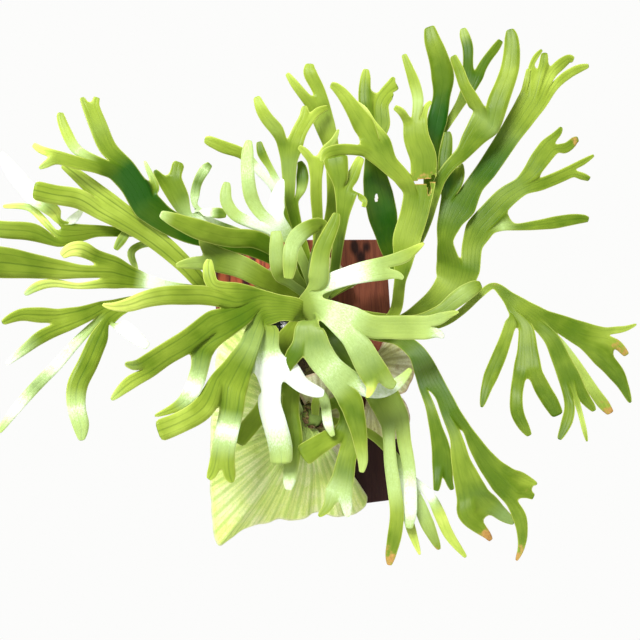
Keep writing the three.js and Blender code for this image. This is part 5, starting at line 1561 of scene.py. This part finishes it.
          blade([[-11, -120, 121, 10, 0.5, 0.7], [-11, -129, 121, 4]], web=12), web=14)),
    "frond_low_lime": frond(LOW_CROWN, 80, 8, [[14, -56, 88, 8], [38, -80, 92, 9, 0.5, 0.3],
        [50, -104, 98, 17, 0.6, 0.8]],
        blade([[46, -128, 103, 8, 0.6, 0.8], [50, -148, 105, 9, 0.75, 0.1], [57, -172, 106, 2, 0.9, 0]]),
        blade([[59, -124, 104, 12, 0.55, 0.5], [67, -146, 108, 13, 0.55, 0.3],
            [74, -163, 110, 8, 0.55, 0.2, 0.1], [77, -170, 110, 3, 0.5, 0, 0.4]]),
        blade([[72, -120, 104, 9, 0.7, 0.9], [80, -138, 108, 11, 0.8, 0.1], [88, -158, 110, 10, 0.88, 0],
            [104, -181, 112, 3]])),
    "frond_low_finger": frond(LOW_CROWN, 92, 7, [[-34, -24, 106, 8], [-28, -17, 114, 9, 0.6, 0.5],
        [-25, -30, 122, 9, 0.65, 0.5], [-24, -44, 125, 9, 0.65, 0.8], [-20, -56, 125, 4, 0.7, 0.4]]),
}


# ---- Shield fronds ------------------------------------------------------------------------
@dataclass(frozen=True)
class Shield:
    """A round basal frond: a fan of ribs from its hub to its rim.

    The hub and each point of the rim are [across, up, stand], plotted. Other lengths are in
    millimetres.
    """

    name: str
    kind: ShieldKind
    hub: Row
    swell: float
    ripple: float
    rim: Sequence[Row]
    rib_gap: float = 15.0
    rib_height: float = 0.9
    frill: float = 1.5
    frill_length: float = 21.0
    column: float = 2.6
    ring: float = 7.0
    crowd: float = 1.15
    hub_reach: float = 0.03
    wander: float = 0.22
    wander_length: float = 45.0
    sag: float = 1.2
    sag_length: float = 28.0
    thickness: float = 1.5

    def build(self, finish: Material) -> Object:
        """Spreads the shield and dresses it.

        Args:
            finish: Its skin.

        Returns:
            The finished object.
        """
        piece = Piece(self.name)
        bm = piece.bm
        gauge = piece.layer("gauge")
        plan = piece.layer("plan")
        hub = SIGHT.plot(*self.hub)
        ends, along = self.rim_line()
        radius = sum((end - hub).length for end in ends) / len(ends)
        rings = max(6, round(radius / self.ring))
        row = start_row(bm, len(ends))
        for ring in range(rings + 1):
            reach = mix(1.0, self.hub_reach, (ring / rings) ** self.crowd)
            if ring:
                row = next_row(bm, row)
            for vert, end, u in zip(row, ends, along):
                bend = noise.noise(Vector((u / self.wander_length, reach * 2.5, self.swell)))
                phase = u / self.rib_gap + self.wander * bend
                ends_in = min(u, along[-1] - u)
                vert.co = hub.lerp(end, reach)
                vert.co.y -= self.swell * math.sin(0.9 * math.pi * reach) + self.relief(phase, u, reach)
                edge = min((1.0 - reach) * (end - hub).length, ends_in * reach)
                vert[gauge] = Vector((reach, edge, self.rib_gap * reach))
                vert[plan] = Vector((phase, reach * radius / CHART_STEP, 0.0))
        middle = sum((vert.co for vert in row), Vector()) / len(row)
        bmesh.ops.pointmerge(bm, verts=row, merge_co=middle)
        piece.turn_outward()
        chart_from(bm, plan)
        return piece.make(self.kind.value, finish, thickness=self.thickness)

    def rim_line(self) -> tuple[list[Vector], list[float]]:
        """The rim as a smooth line.

        Returns:
            Its points, and how far along it each one lies.
        """
        knots = [
            SIGHT.plot(*point) + Vector((0.0, -self.ripple if i % 2 else self.ripple, 0.0))
            for i, point in enumerate(self.rim)
        ]
        path = Path(knots)
        ends = [knots[0]]
        for span, (a, b) in enumerate(zip(knots, knots[1:])):
            parts = max(2, round((b - a).length / self.column))
            ends += [path.at(span, (i + 1) / parts) for i in range(parts)]
        along = [0.0]
        for a, b in zip(ends, ends[1:]):
            along.append(along[-1] + (b - a).length)
        return ends, along

    def relief(self, phase: float, u: float, reach: float) -> float:
        """How far the skin stands out of the fan's smooth shape at a point.

        Args:
            phase: The point's place across the ribs, in ribs.
            u: Its place along the rim, in millimetres.
            reach: Its place from the hub, 0, to the rim, 1.

        Returns:
            The height in millimetres.
        """
        main = (0.5 + 0.5 * math.cos(2 * math.pi * phase)) ** 2
        between = (0.5 - 0.5 * math.cos(2 * math.pi * phase)) ** 3 * smooth((reach - 0.4) / 0.3)
        frill = math.sin(2 * math.pi * u / self.frill_length + self.swell) * reach**5
        sag = noise.noise(Vector((u / self.sag_length, reach * 3.0, self.ripple))) * reach
        ribs = self.rib_height * (main + 0.6 * between) * smooth(reach / 0.3)
        return ribs + self.frill * frill + self.sag * sag


SHIELDS = (
    Shield("shield_green", ShieldKind.GREEN, hub=[-43, -38, 84], swell=15, ripple=2.5, rim=[
        [-88, 56, 58], [-112, 48, 50], [-120, 28, 48], [-124, 4, 48], [-128, -28, 50],
        [-131, -60, 51], [-132, -98, 50], [-128, -136, 48], [-115, -131, 46], [-101, -124, 44],
        [-87, -124, 42], [-75, -121, 40], [-63, -125, 38], [-52, -123, 36], [-40, -120, 35],
        [-26, -125, 34], [-11, -127, 33], [2, -122, 32], [8, -113, 31]]),
    Shield("shield_old", ShieldKind.HUSK, hub=[-40, -38, 74], swell=7, ripple=1.5, rim=[
        [-56, -6, 71], [-34, 2, 73], [-12, -2, 72], [4, -14, 68], [8, -32, 64], [5, -52, 58],
        [0, -72, 52], [-5, -92, 46], [-12, -106, 41]]),
    Shield("shield_right", ShieldKind.HUSK, hub=[18, 8, 42], swell=6, ripple=1.5, rim=[
        [34, 26, 30], [48, 27, 29], [59, 20, 30], [64, 6, 31], [61, -10, 32], [52, -21, 33],
        [40, -24, 34]]),
    Shield("shield_right_low", ShieldKind.HUSK, hub=[16, -18, 42], swell=6, ripple=1.5, rim=[
        [50, -27, 31], [55, -42, 30], [51, -57, 29], [38, -64, 29], [24, -64, 29], [13, -58, 30],
        [6, -44, 36]]),
    Shield("shield_top", ShieldKind.HUSK, hub=[-32, 76, 56], swell=6, ripple=1.5, rim=[
        [-78, 66, 48], [-80, 84, 40], [-70, 98, 34], [-52, 108, 30], [-32, 112, 29], [-12, 106, 30],
        [2, 94, 34], [8, 78, 40]]),
)


# ---- Crowns -------------------------------------------------------------------------------
@dataclass(frozen=True)
class CrownScales:
    """A crown's bud, clothed in overlapping papery scales."""

    crown: Crown
    shoulder: float = 0.6
    sides: int = 40
    rings: int = 14
    shrink: float = 0.86
    waist: float = 0.38
    foot_share: float = 0.92
    scale_rows: int = 6
    scales_round: int = 11
    scale_width: float = 9.0
    scale_length: float = 17.0
    flare: float = 2.2
    scale_thick: float = 0.5

    def radius(self, share: float) -> float:
        """The bud's radius at a share of its length, from its foot to its tip.

        Args:
            share: The share of its length.

        Returns:
            The radius in millimetres.
        """
        if share < self.waist:
            return self.crown.radius * mix(self.foot_share, 1.0, share / self.waist)
        rise = (share - self.waist) / (1.0 - self.waist)
        return self.crown.radius * math.cos(math.asin(min(1.0, rise))) ** self.shoulder

    def spot(self, share: float, turn: float, out: float) -> Vector:
        """A point on the bud.

        Args:
            share: Its place from the foot to the tip.
            turn: Its place round the bud, in radians.
            out: How far it stands out of the bud's core, in millimetres.

        Returns:
            The point.
        """
        crown = self.crown
        r = self.radius(share) * self.shrink + out
        stand = mix(crown.foot, crown.tip - 2.0, share)
        return Vector((crown.x + r * math.cos(turn), -stand, crown.z + r * math.sin(turn)))

    def build(self, finish: Material) -> Object:
        """Makes the bud with its scales and dresses it.

        Args:
            finish: The scales' finish.

        Returns:
            The finished object.
        """
        piece = Piece(self.crown.node)
        bm = piece.bm
        gauge = piece.layer("gauge")
        shares = [math.sin(math.pi / 2 * i / self.rings) for i in range(self.rings + 1)]
        turns = turns_round(self.sides)
        loft(bm, [[self.spot(share * 0.995, turn, 0.0) for turn in turns] for share in shares])
        for vert in bm.verts:
            vert[gauge] = Vector((0.3, 0.2, 0.0))
        for ring in range(self.scale_rows):
            for i in range(self.scales_round):
                turn = 2 * math.pi * (i + 0.5 * (ring % 2)) / self.scales_round
                share = 0.06 + 0.80 * ring / self.scale_rows
                self.add_scale(bm, gauge, share, turn + 0.3 * math.sin(5.0 * i + ring))
        piece.turn_outward()
        return piece.make("scale", finish)

    def add_scale(self, bm: BMesh, gauge: BMLayerItem, share: float, turn: float) -> None:
        """Adds one pointed scale that lies on the bud and lifts at its tip.

        Args:
            bm: The bud's mesh.
            gauge: The layer that holds each vertex's place across and along its scale.
            share: Where the scale starts, from the bud's foot to its tip.
            turn: Where it sits round the bud, in radians.
        """
        made = bmesh.ops.create_grid(bm, x_segments=4, y_segments=5, size=1.0)["verts"]
        length = self.crown.tip - self.crown.foot
        radius = max(4.0, self.radius(share))
        lift = 1.0 + 0.5 * math.sin(7.0 * turn + 3.0 * share)
        for vert in made:
            across, along = vert.co.x, (vert.co.y + 1.0) / 2
            half = self.scale_width / 2 * (1.0 - along**2.2) ** 0.8 + 0.25
            at = min(0.97, share + along * self.scale_length / length)
            out = 0.5 + self.flare * lift * along**2 + 0.8 * (1.0 - across**2)
            vert.co = self.spot(at, turn + across * half / radius, out)
            vert[gauge] = Vector((abs(across), along, 0.0))
        faces = list(dict.fromkeys(face for vert in made for face in vert.link_faces))
        shell = bmesh.ops.solidify(bm, geom=faces, thickness=self.scale_thick)["geom"]
        for item in shell:
            if isinstance(item, BMVert):
                item[gauge] = Vector((0.8, 0.8, 0.0))


# ---- Root ball and its film ---------------------------------------------------------------
@dataclass(frozen=True)
class RootBall:
    """Moss and roots bound to the board in a dome, inside a ring of creased film."""

    x: float = -20.0
    z: float = 2.0
    half_width: float = 62.0
    half_height: float = 98.0
    foot: float = 20.4
    rise: float = 48.0
    power: float = 2.2
    sides: int = 120
    rings: int = 34
    lump: float = 2.2
    lump_length: float = 13.0
    threads: int = 420
    thread_seed: int = 3
    thread_length: float = 9.0
    thread_radius: float = 0.45
    thread_tip: float = 0.16
    film_gap: float = 1.2
    film_thick: float = 0.7
    film_open: float = 0.5
    film_rings: int = 22
    film_ragged: float = 9.0
    crease: float = 1.3
    crumple_length: float = 9.0
    crumple_share: float = 0.35

    def stand(self, x: float, z: float, allowance: float = 0.0) -> float:
        """How far the dome stands from the wall at a point of the board.

        Args:
            x: The point's place across.
            z: The point's place up.
            allowance: How far the dome is let out all round.

        Returns:
            The distance in millimetres.
        """
        across = (x - self.x) / (self.half_width + allowance)
        up = (z - self.z) / (self.half_height + allowance)
        share = (1.0 - min(1.0, math.hypot(across, up)) ** self.power) ** (1.0 / self.power)
        return self.foot + (self.rise + allowance) * share

    def spot(self, share: float, turn: float, allowance: float) -> Vector:
        """A point on the dome at a share of its radius and a turn round it.

        Args:
            share: The share of its radius.
            turn: The turn in radians.
            allowance: How far the dome is let out all round.

        Returns:
            The point.
        """
        x = self.x + (self.half_width + allowance) * share * math.cos(turn)
        z = self.z + (self.half_height + allowance) * share * math.sin(turn)
        return Vector((x, -self.stand(x, z, allowance), z))

    def build_ball(self, finish: Material) -> Object:
        """Makes the lumpy dome with its loose threads and dresses it.

        Args:
            finish: The moss.

        Returns:
            The finished object.
        """
        piece = Piece("root_ball")
        bm = piece.bm
        turns = turns_round(self.sides)
        rings = [[self.spot(1.0, turn, -1.0) for turn in turns]]
        for at in rings[0]:
            at.y = -self.foot
        for i in range(self.rings):
            share = math.cos(math.pi / 2 * i / self.rings) * 0.985
            rings.append([self.lumpy(self.spot(share, turn, 0.0), share) for turn in turns])
        loft(bm, rings)
        piece.turn_outward()
        noise.seed_set(self.thread_seed)
        for i in range(self.threads):
            self.add_thread(bm, i)
        return piece.make("moss", finish)

    def lumpy(self, at: Vector, share: float) -> Vector:
        """A point of the dome, pushed in by the moss's lumps.

        Args:
            at: The point on the smooth dome.
            share: Its share of the dome's radius.

        Returns:
            The pushed point.
        """
        coarse = noise.fractal(at / self.lump_length, 1.0, 2.0, 3)
        aside = Vector((at.x - self.x, 0.0, at.z - self.z)).normalized() * share
        return at + (aside + Vector((0.0, -1.0, 0.0))) * (self.lump * (coarse - 0.6) * 0.7)

    def add_thread(self, bm: BMesh, index: int) -> None:
        """Adds one thread of moss or root that lies on the dome.

        Args:
            bm: The ball's mesh.
            index: Which thread it is: each has a place and a length of its own.
        """
        seed = Vector((index * 1.37, index * 0.61, 5.0))
        share = 0.55 * math.sqrt((index * 0.754877) % 1.0)
        at = self.spot(share, 2 * math.pi * ((index * 0.569840) % 1.0), -0.6)
        lean = noise.noise_vector(seed)
        aim = Vector((lean.x, -0.35 + 0.3 * lean.y, lean.z)).normalized()
        length = self.thread_length * (0.7 + 0.5 * abs(noise.noise(seed)))
        turn = aim.to_track_quat("Z", "Y").to_matrix().to_4x4()
        bmesh.ops.create_cone(
            bm,
            cap_ends=True,
            segments=4,
            radius1=self.thread_radius,
            radius2=self.thread_tip,
            depth=length,
            matrix=Matrix.Translation(at + aim * length * 0.4) @ turn,
        )

    def build_wrap(self, finish: Material) -> Object:
        """Makes the ring of film and dresses it.

        Args:
            finish: The film.

        Returns:
            The finished object.
        """
        piece = Piece("root_wrap")
        bm = piece.bm
        turns = turns_round(self.sides)
        allowance = self.film_gap + self.film_thick
        rings = []
        for i in range(self.film_rings + 1):
            part = i / self.film_rings
            share = mix(1.0, self.film_open, part**1.4)
            rings.append([self.creased(self.spot(share, turn, allowance), turn, part) for turn in turns])
        loft(bm, rings, caps=False)
        piece.turn_outward()
        return piece.make("film", finish, thickness=self.film_thick)

    def creased(self, at: Vector, turn: float, part: float) -> Vector:
        """A point of the film, with folds that run up it and a ragged inner edge.

        Args:
            at: The point on the smooth film.
            turn: Its turn round the dome, in radians.
            part: Its place from the film's outer edge to its inner one.

        Returns:
            The creased point.
        """
        fold = noise.turbulence(Vector((turn * 5.0, part * 1.2, 0.0)), 3, True) - 0.45
        crumple = noise.fractal(at / self.crumple_length, 0.8, 2.0, 3)
        ragged = noise.noise(Vector((turn * 4.0, 9.0, 0.0))) * self.film_ragged * part**3
        out = Vector((at.x - self.x, -14.0, at.z - self.z)).normalized()
        slide = Vector((self.x - at.x, 0.0, self.z - at.z)).normalized()
        return at + out * self.crease * (0.9 * fold + self.crumple_share * crumple) + slide * ragged


# ---- Ties, nails and screws ---------------------------------------------------------------
@dataclass(frozen=True)
class Tie:
    """A twisted cord that holds the root ball down, bound round a nail at each end."""

    name: str
    nail_z: float
    ball: RootBall
    strands: int = 3
    strand_radius: float = 0.52
    lay: float = 0.50
    pitch: float = 7.0
    sides: int = 6
    over: float = 6.2
    neck: float = 24.5
    reach: float = 3.5
    level_up: float = 4.8
    board_gap: float = 3.0
    tail: tuple[tuple[float, float, float], ...] = ((-7.0, -21.6, -5.0), (-4.0, -21.8, -3.4))
    loop_radius: float = 2.4
    loop_from: float = 21.9
    loop_to: float = 25.4
    loop_parts: int = 14
    loops: float = 1.75
    over_parts: int = 20
    station: float = 0.9

    def nail_places(self) -> tuple[Vector, Vector]:
        """Where its two nails enter the board.

        Returns:
            The left nail's place and the right one's.
        """
        up = (self.nail_z - self.ball.z) / (self.ball.half_height + self.board_gap)
        half = (self.ball.half_width + self.board_gap) * math.sqrt(1.0 - up * up) + self.reach
        left, right = self.ball.x - half, self.ball.x + half
        return Vector((left, 0.0, self.nail_z)), Vector((right, 0.0, self.nail_z))

    def loop(self, nail: Vector, way: float) -> list[Vector]:
        """The turns round one nail, from the cord's tail to where it leaves for the other nail.

        Args:
            nail: Where the nail enters the board.
            way: 1 if the cord leaves to the right, -1 if to the left.

        Returns:
            The points.
        """
        points = [nail + Vector((way * x, y, z)) for x, y, z in self.tail]
        whole = 2 * math.pi * self.loops
        for i in range(self.loop_parts + 1):
            turn = -0.9 + whole * i / self.loop_parts
            spin = math.pi / 2 + way * (turn - whole - 0.2)
            stand = mix(self.loop_from, self.loop_to, i / self.loop_parts)
            out = Vector((-math.cos(spin), 0.0, math.sin(spin))) * self.loop_radius
            points.append(nail + out - Vector((0.0, stand, 0.0)))
        return points

    def route(self) -> list[Vector]:
        """The line of the cord's middle from tail to tail.

        Returns:
            The points.
        """
        left, right = self.nail_places()
        level = self.nail_z + self.level_up
        over = []
        for i in range(2, self.over_parts - 1):
            x = mix(left.x, right.x, i / self.over_parts)
            stand = max(self.ball.stand(x, level, self.over), self.neck)
            over.append(Vector((x, -stand, level)))
        return [*self.loop(left, 1.0), *over, *reversed(self.loop(right, -1.0))]

    def build(self, finish: Material) -> Object:
        """Twists the cord along its route and dresses it.

        Args:
            finish: The twine.

        Returns:
            The finished object.
        """
        piece = Piece(self.name)
        bm = piece.bm
        plan = piece.layer("plan")
        line = self.stations()
        for strand in range(self.strands):
            rings = []
            side = Vector((0.0, 0.0, 1.0))
            far = 0.0
            for i, at in enumerate(line):
                ahead = (line[min(i + 1, len(line) - 1)] - line[max(i - 1, 0)]).normalized()
                side = (side - ahead * side.dot(ahead)).normalized()
                turn = 2 * math.pi * (far / self.pitch + strand / self.strands)
                out = side * math.cos(turn) + ahead.cross(side) * math.sin(turn)
                third = ahead.cross(out)
                middle = at + out * self.lay
                around = [out * math.cos(a) + third * math.sin(a) for a in turns_round(self.sides)]
                rings.append([middle + way * self.strand_radius for way in around])
                far += (line[min(i + 1, len(line) - 1)] - at).length
            for i, row in enumerate(loft(bm, rings)):
                for j, vert in enumerate(row):
                    vert[plan] = Vector((j / self.sides, i * self.station / CHART_STEP, 0.0))
        piece.turn_outward()
        chart_from(bm, plan)
        return piece.make("cord", finish, rounds=0)

    def stations(self) -> list[Vector]:
        """The route as evenly spaced points on a smooth line.

        Returns:
            The points.
        """
        route = self.route()
        path = Path(route)
        line = [route[0]]
        for span, (a, b) in enumerate(zip(route, route[1:])):
            parts = max(1, round((b - a).length / self.station))
            line += [path.at(span, (i + 1) / parts) for i in range(parts)]
        return line


@dataclass(frozen=True)
class Fastener:
    """A nail or a screw, turned about a line out of the wall."""

    name: str
    x: float
    z: float
    profile: tuple[tuple[float, float], ...]
    sides: int = 24
    socket: float = 0.0
    socket_depth: float = 0.0
    sharp: float = 0.6
    round_over: float = 0.14

    def build(self, finish: Material) -> Object:
        """Turns the fastener and dresses it.

        Args:
            finish: The steel.

        Returns:
            The finished object.
        """
        piece = Piece(self.name)
        bm = piece.bm
        turns = turns_round(self.sides)
        rings = [[self.spot(radius, stand, turn) for turn in turns] for radius, stand in self.profile]
        if self.socket:
            mouth = self.profile[-1][1]
            for stand in (mouth, mouth + self.socket_depth):
                rings.append([self.spot(self.hexagon(turn), stand, turn) for turn in turns])
        loft(bm, rings)
        piece.turn_outward()
        creases = [e for e in bm.edges if len(e.link_faces) == 2 and e.calc_face_angle(0.0) > self.sharp]
        bmesh.ops.bevel(
            bm,
            geom=creases,
            offset=self.round_over,
            offset_type="OFFSET",
            segments=2,
            profile=0.5,
            affect="EDGES",
            material=-1,
        )
        return piece.make("steel", finish, rounds=0)

    def spot(self, radius: float, stand: float, turn: float) -> Vector:
        """A point on a ring of the fastener."""
        return Vector((self.x + radius * math.cos(turn), -stand, self.z + radius * math.sin(turn)))

    def hexagon(self, turn: float) -> float:
        """The radius of the hexagonal socket's wall in one direction."""
        third = math.pi / 3
        return self.socket / math.cos((turn % third) - third / 2)


NAIL_PROFILE = ((0.15, 7.0), (1.3, 10.0), (1.3, 27.0), (3.2, 27.0), (3.4, 27.4), (3.1, 27.9), (1.8, 28.2))
SCREW_PROFILE = (
    (0.2, 11.8),
    (0.9, 11.0),
    *((1.25 if i % 2 else 1.6, 9.5 - 0.5 * i) for i in range(11)),
    (1.6, 1.2),
    (3.4, 1.2),
    (3.4, 0.7),
    (2.9, 0.05),
)
TIE_ROWS = (30.0, -78.0)
HANGER_Z = 112.0
SCREW_PLACES = {"left": -20.0, "right": 20.0}


# ---- Studio -------------------------------------------------------------------------------
@dataclass(frozen=True)
class Lamp:
    """A soft square light. Its place and side are in metres, its power in watts."""

    name: str
    place: tuple[float, float, float]
    side: float
    power: float


LAMPS = (
    Lamp("key", (-0.75, -1.45, 0.85), side=0.45, power=46.0),
    Lamp("fill", (-0.35, -1.3, -0.7), side=0.9, power=5.0),
    Lamp("back", (-0.5, 1.0, 1.2), side=0.8, power=30.0),
)


@dataclass(frozen=True)
class Studio:
    """The pale floor, the soft light and the camera. Lengths are in metres, angles in degrees."""

    floor_drop: float = 1.25
    floor_size: float = 1.6
    lens: float = 36.0
    sensor: float = 36.0
    heading: float = 16.7
    pitch: float = 3.7
    roll: float = -3.5
    lit: tuple[float, float, float] = (0.0, -0.1, 0.05)
    sky: Colour = shade("fcfcfb")
    sky_strength: float = 0.50

    def build(self, floor: Material) -> None:
        """Sets up the studio.

        Args:
            floor: The floor's finish.
        """
        self.lay_floor(floor)
        self.light_sky()
        for lamp in LAMPS:
            self.hang(lamp)
        self.set_camera()

    def lay_floor(self, finish: Material) -> None:
        """Lays the floor well below the object.

        Args:
            finish: The floor's finish.
        """
        bm = bmesh.new()
        bmesh.ops.create_circle(bm, cap_ends=True, segments=64, radius=self.floor_size)
        bmesh.ops.translate(bm, vec=(0.0, 0.0, -self.floor_drop), verts=bm.verts)
        mesh = bpy.data.meshes.new("studio_floor")
        bm.to_mesh(mesh)
        bm.free()
        mesh.materials.append(finish)
        floor = bpy.data.objects.new("studio_floor", mesh)
        bpy.context.scene.collection.objects.link(floor)

    def light_sky(self) -> None:
        """Sets a nearly white sky that lights everything evenly, more softly than it looks."""
        scene = bpy.context.scene
        scene.world = bpy.data.worlds.new("studio_sky")
        scene.world.use_nodes = True
        nodes, links = scene.world.node_tree.nodes, scene.world.node_tree.links
        seen = nodes["Background"]
        seen.inputs["Color"].default_value = (*self.sky, 1.0)
        soft = nodes.new("ShaderNodeBackground")
        soft.inputs["Color"].default_value = (*self.sky, 1.0)
        soft.inputs["Strength"].default_value = self.sky_strength
        path, both = nodes.new("ShaderNodeLightPath"), nodes.new("ShaderNodeMixShader")
        links.new(path.outputs["Is Camera Ray"], both.inputs[0])
        links.new(soft.outputs[0], both.inputs[1])
        links.new(seen.outputs[0], both.inputs[2])
        links.new(both.outputs[0], nodes["World Output"].inputs["Surface"])
        scene.view_settings.view_transform = "Standard"

    def hang(self, lamp: Lamp) -> None:
        """Hangs one light so that it shines on the object.

        Args:
            lamp: The light.
        """
        data = bpy.data.lights.new(lamp.name, "AREA")
        data.size = lamp.side
        data.energy = lamp.power
        light = bpy.data.objects.new(lamp.name, data)
        at = Vector(lamp.place)
        aim = (Vector(self.lit) - at).to_track_quat("-Z", "Y").to_matrix().to_4x4()
        light.matrix_world = Matrix.Translation(at) @ aim
        bpy.context.scene.collection.objects.link(light)

    def set_camera(self) -> None:
        """Sets up the camera at the viewing angle."""
        data = bpy.data.cameras.new("camera")
        data.sensor_width = self.sensor
        data.lens = self.lens
        data.clip_start = 0.01
        camera = bpy.data.objects.new("camera", data)
        level = Matrix.Rotation(-math.radians(self.heading), 4, "Z")
        raised = Matrix.Rotation(math.pi / 2 + math.radians(self.pitch), 4, "X")
        rolled = Matrix.Rotation(math.radians(self.roll), 4, "Z")
        camera.matrix_world = Matrix.Translation(SIGHT.eye * MM) @ level @ raised @ rolled
        bpy.context.scene.collection.objects.link(camera)
        bpy.context.scene.camera = camera


# ---- The whole part -----------------------------------------------------------------------
def dress_node(name: str, finish: Material) -> None:
    """Gives a CAD node that stays as it is a finish.

    Args:
        name: The node.
        finish: Its finish.
    """
    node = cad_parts[name]
    for place in node.material_slots:
        place.material = finish
    LOG.info("%s: kept, %s", name, finish.name)


def build_hardware() -> None:
    """Dresses the board and its hanger, and makes the nails, screws and ties."""
    steel = SteelFinish().material()
    dress_node("board", WoodFinish().material())
    dress_node("hanger_plate", steel)
    cord = CordFinish().material()
    ball = RootBall()
    nails = 0
    for i, nail_z in enumerate(TIE_ROWS):
        tie = Tie(f"tie_{i + 1}", nail_z, ball)
        tie.build(cord)
        for spot in tie.nail_places():
            nails += 1
            Fastener(f"nail_{nails}", spot.x, spot.z, NAIL_PROFILE).build(steel)
    for side, x in SCREW_PLACES.items():
        name = f"hanger_screw_{side}"
        Fastener(name, x, HANGER_Z, SCREW_PROFILE, socket=1.5, socket_depth=0.9).build(steel)


def build_roots() -> None:
    """Makes the root ball, its film and the two crowns."""
    ball = RootBall()
    ball.build_ball(MossFinish().material())
    ball.build_wrap(FilmFinish().material())
    scales = ScaleFinish().material()
    CrownScales(MAIN_CROWN).build(scales)
    CrownScales(LOW_CROWN, scales_round=9, scale_width=8.0, scale_length=14.0).build(scales)


def build_leaves() -> None:
    """Makes the shield fronds and the antler fronds."""
    skins = {finish.kind: finish.material() for finish in (FRESH_SHIELD, OLD_SHIELD)}
    for shield in SHIELDS:
        shield.build(skins[shield.kind])
    leaf = LeafFinish().material()
    for name, shape in FRONDS.items():
        FrondSheet(name, shape).build(leaf)


def main() -> None:
    """Builds the scene, piece by piece."""
    logging.basicConfig(level=logging.INFO, format="%(name)s: %(message)s")
    Studio().build(FloorFinish().material())
    build_hardware()
    build_roots()
    build_leaves()
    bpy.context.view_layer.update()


if __name__ == "__main__":
    main()
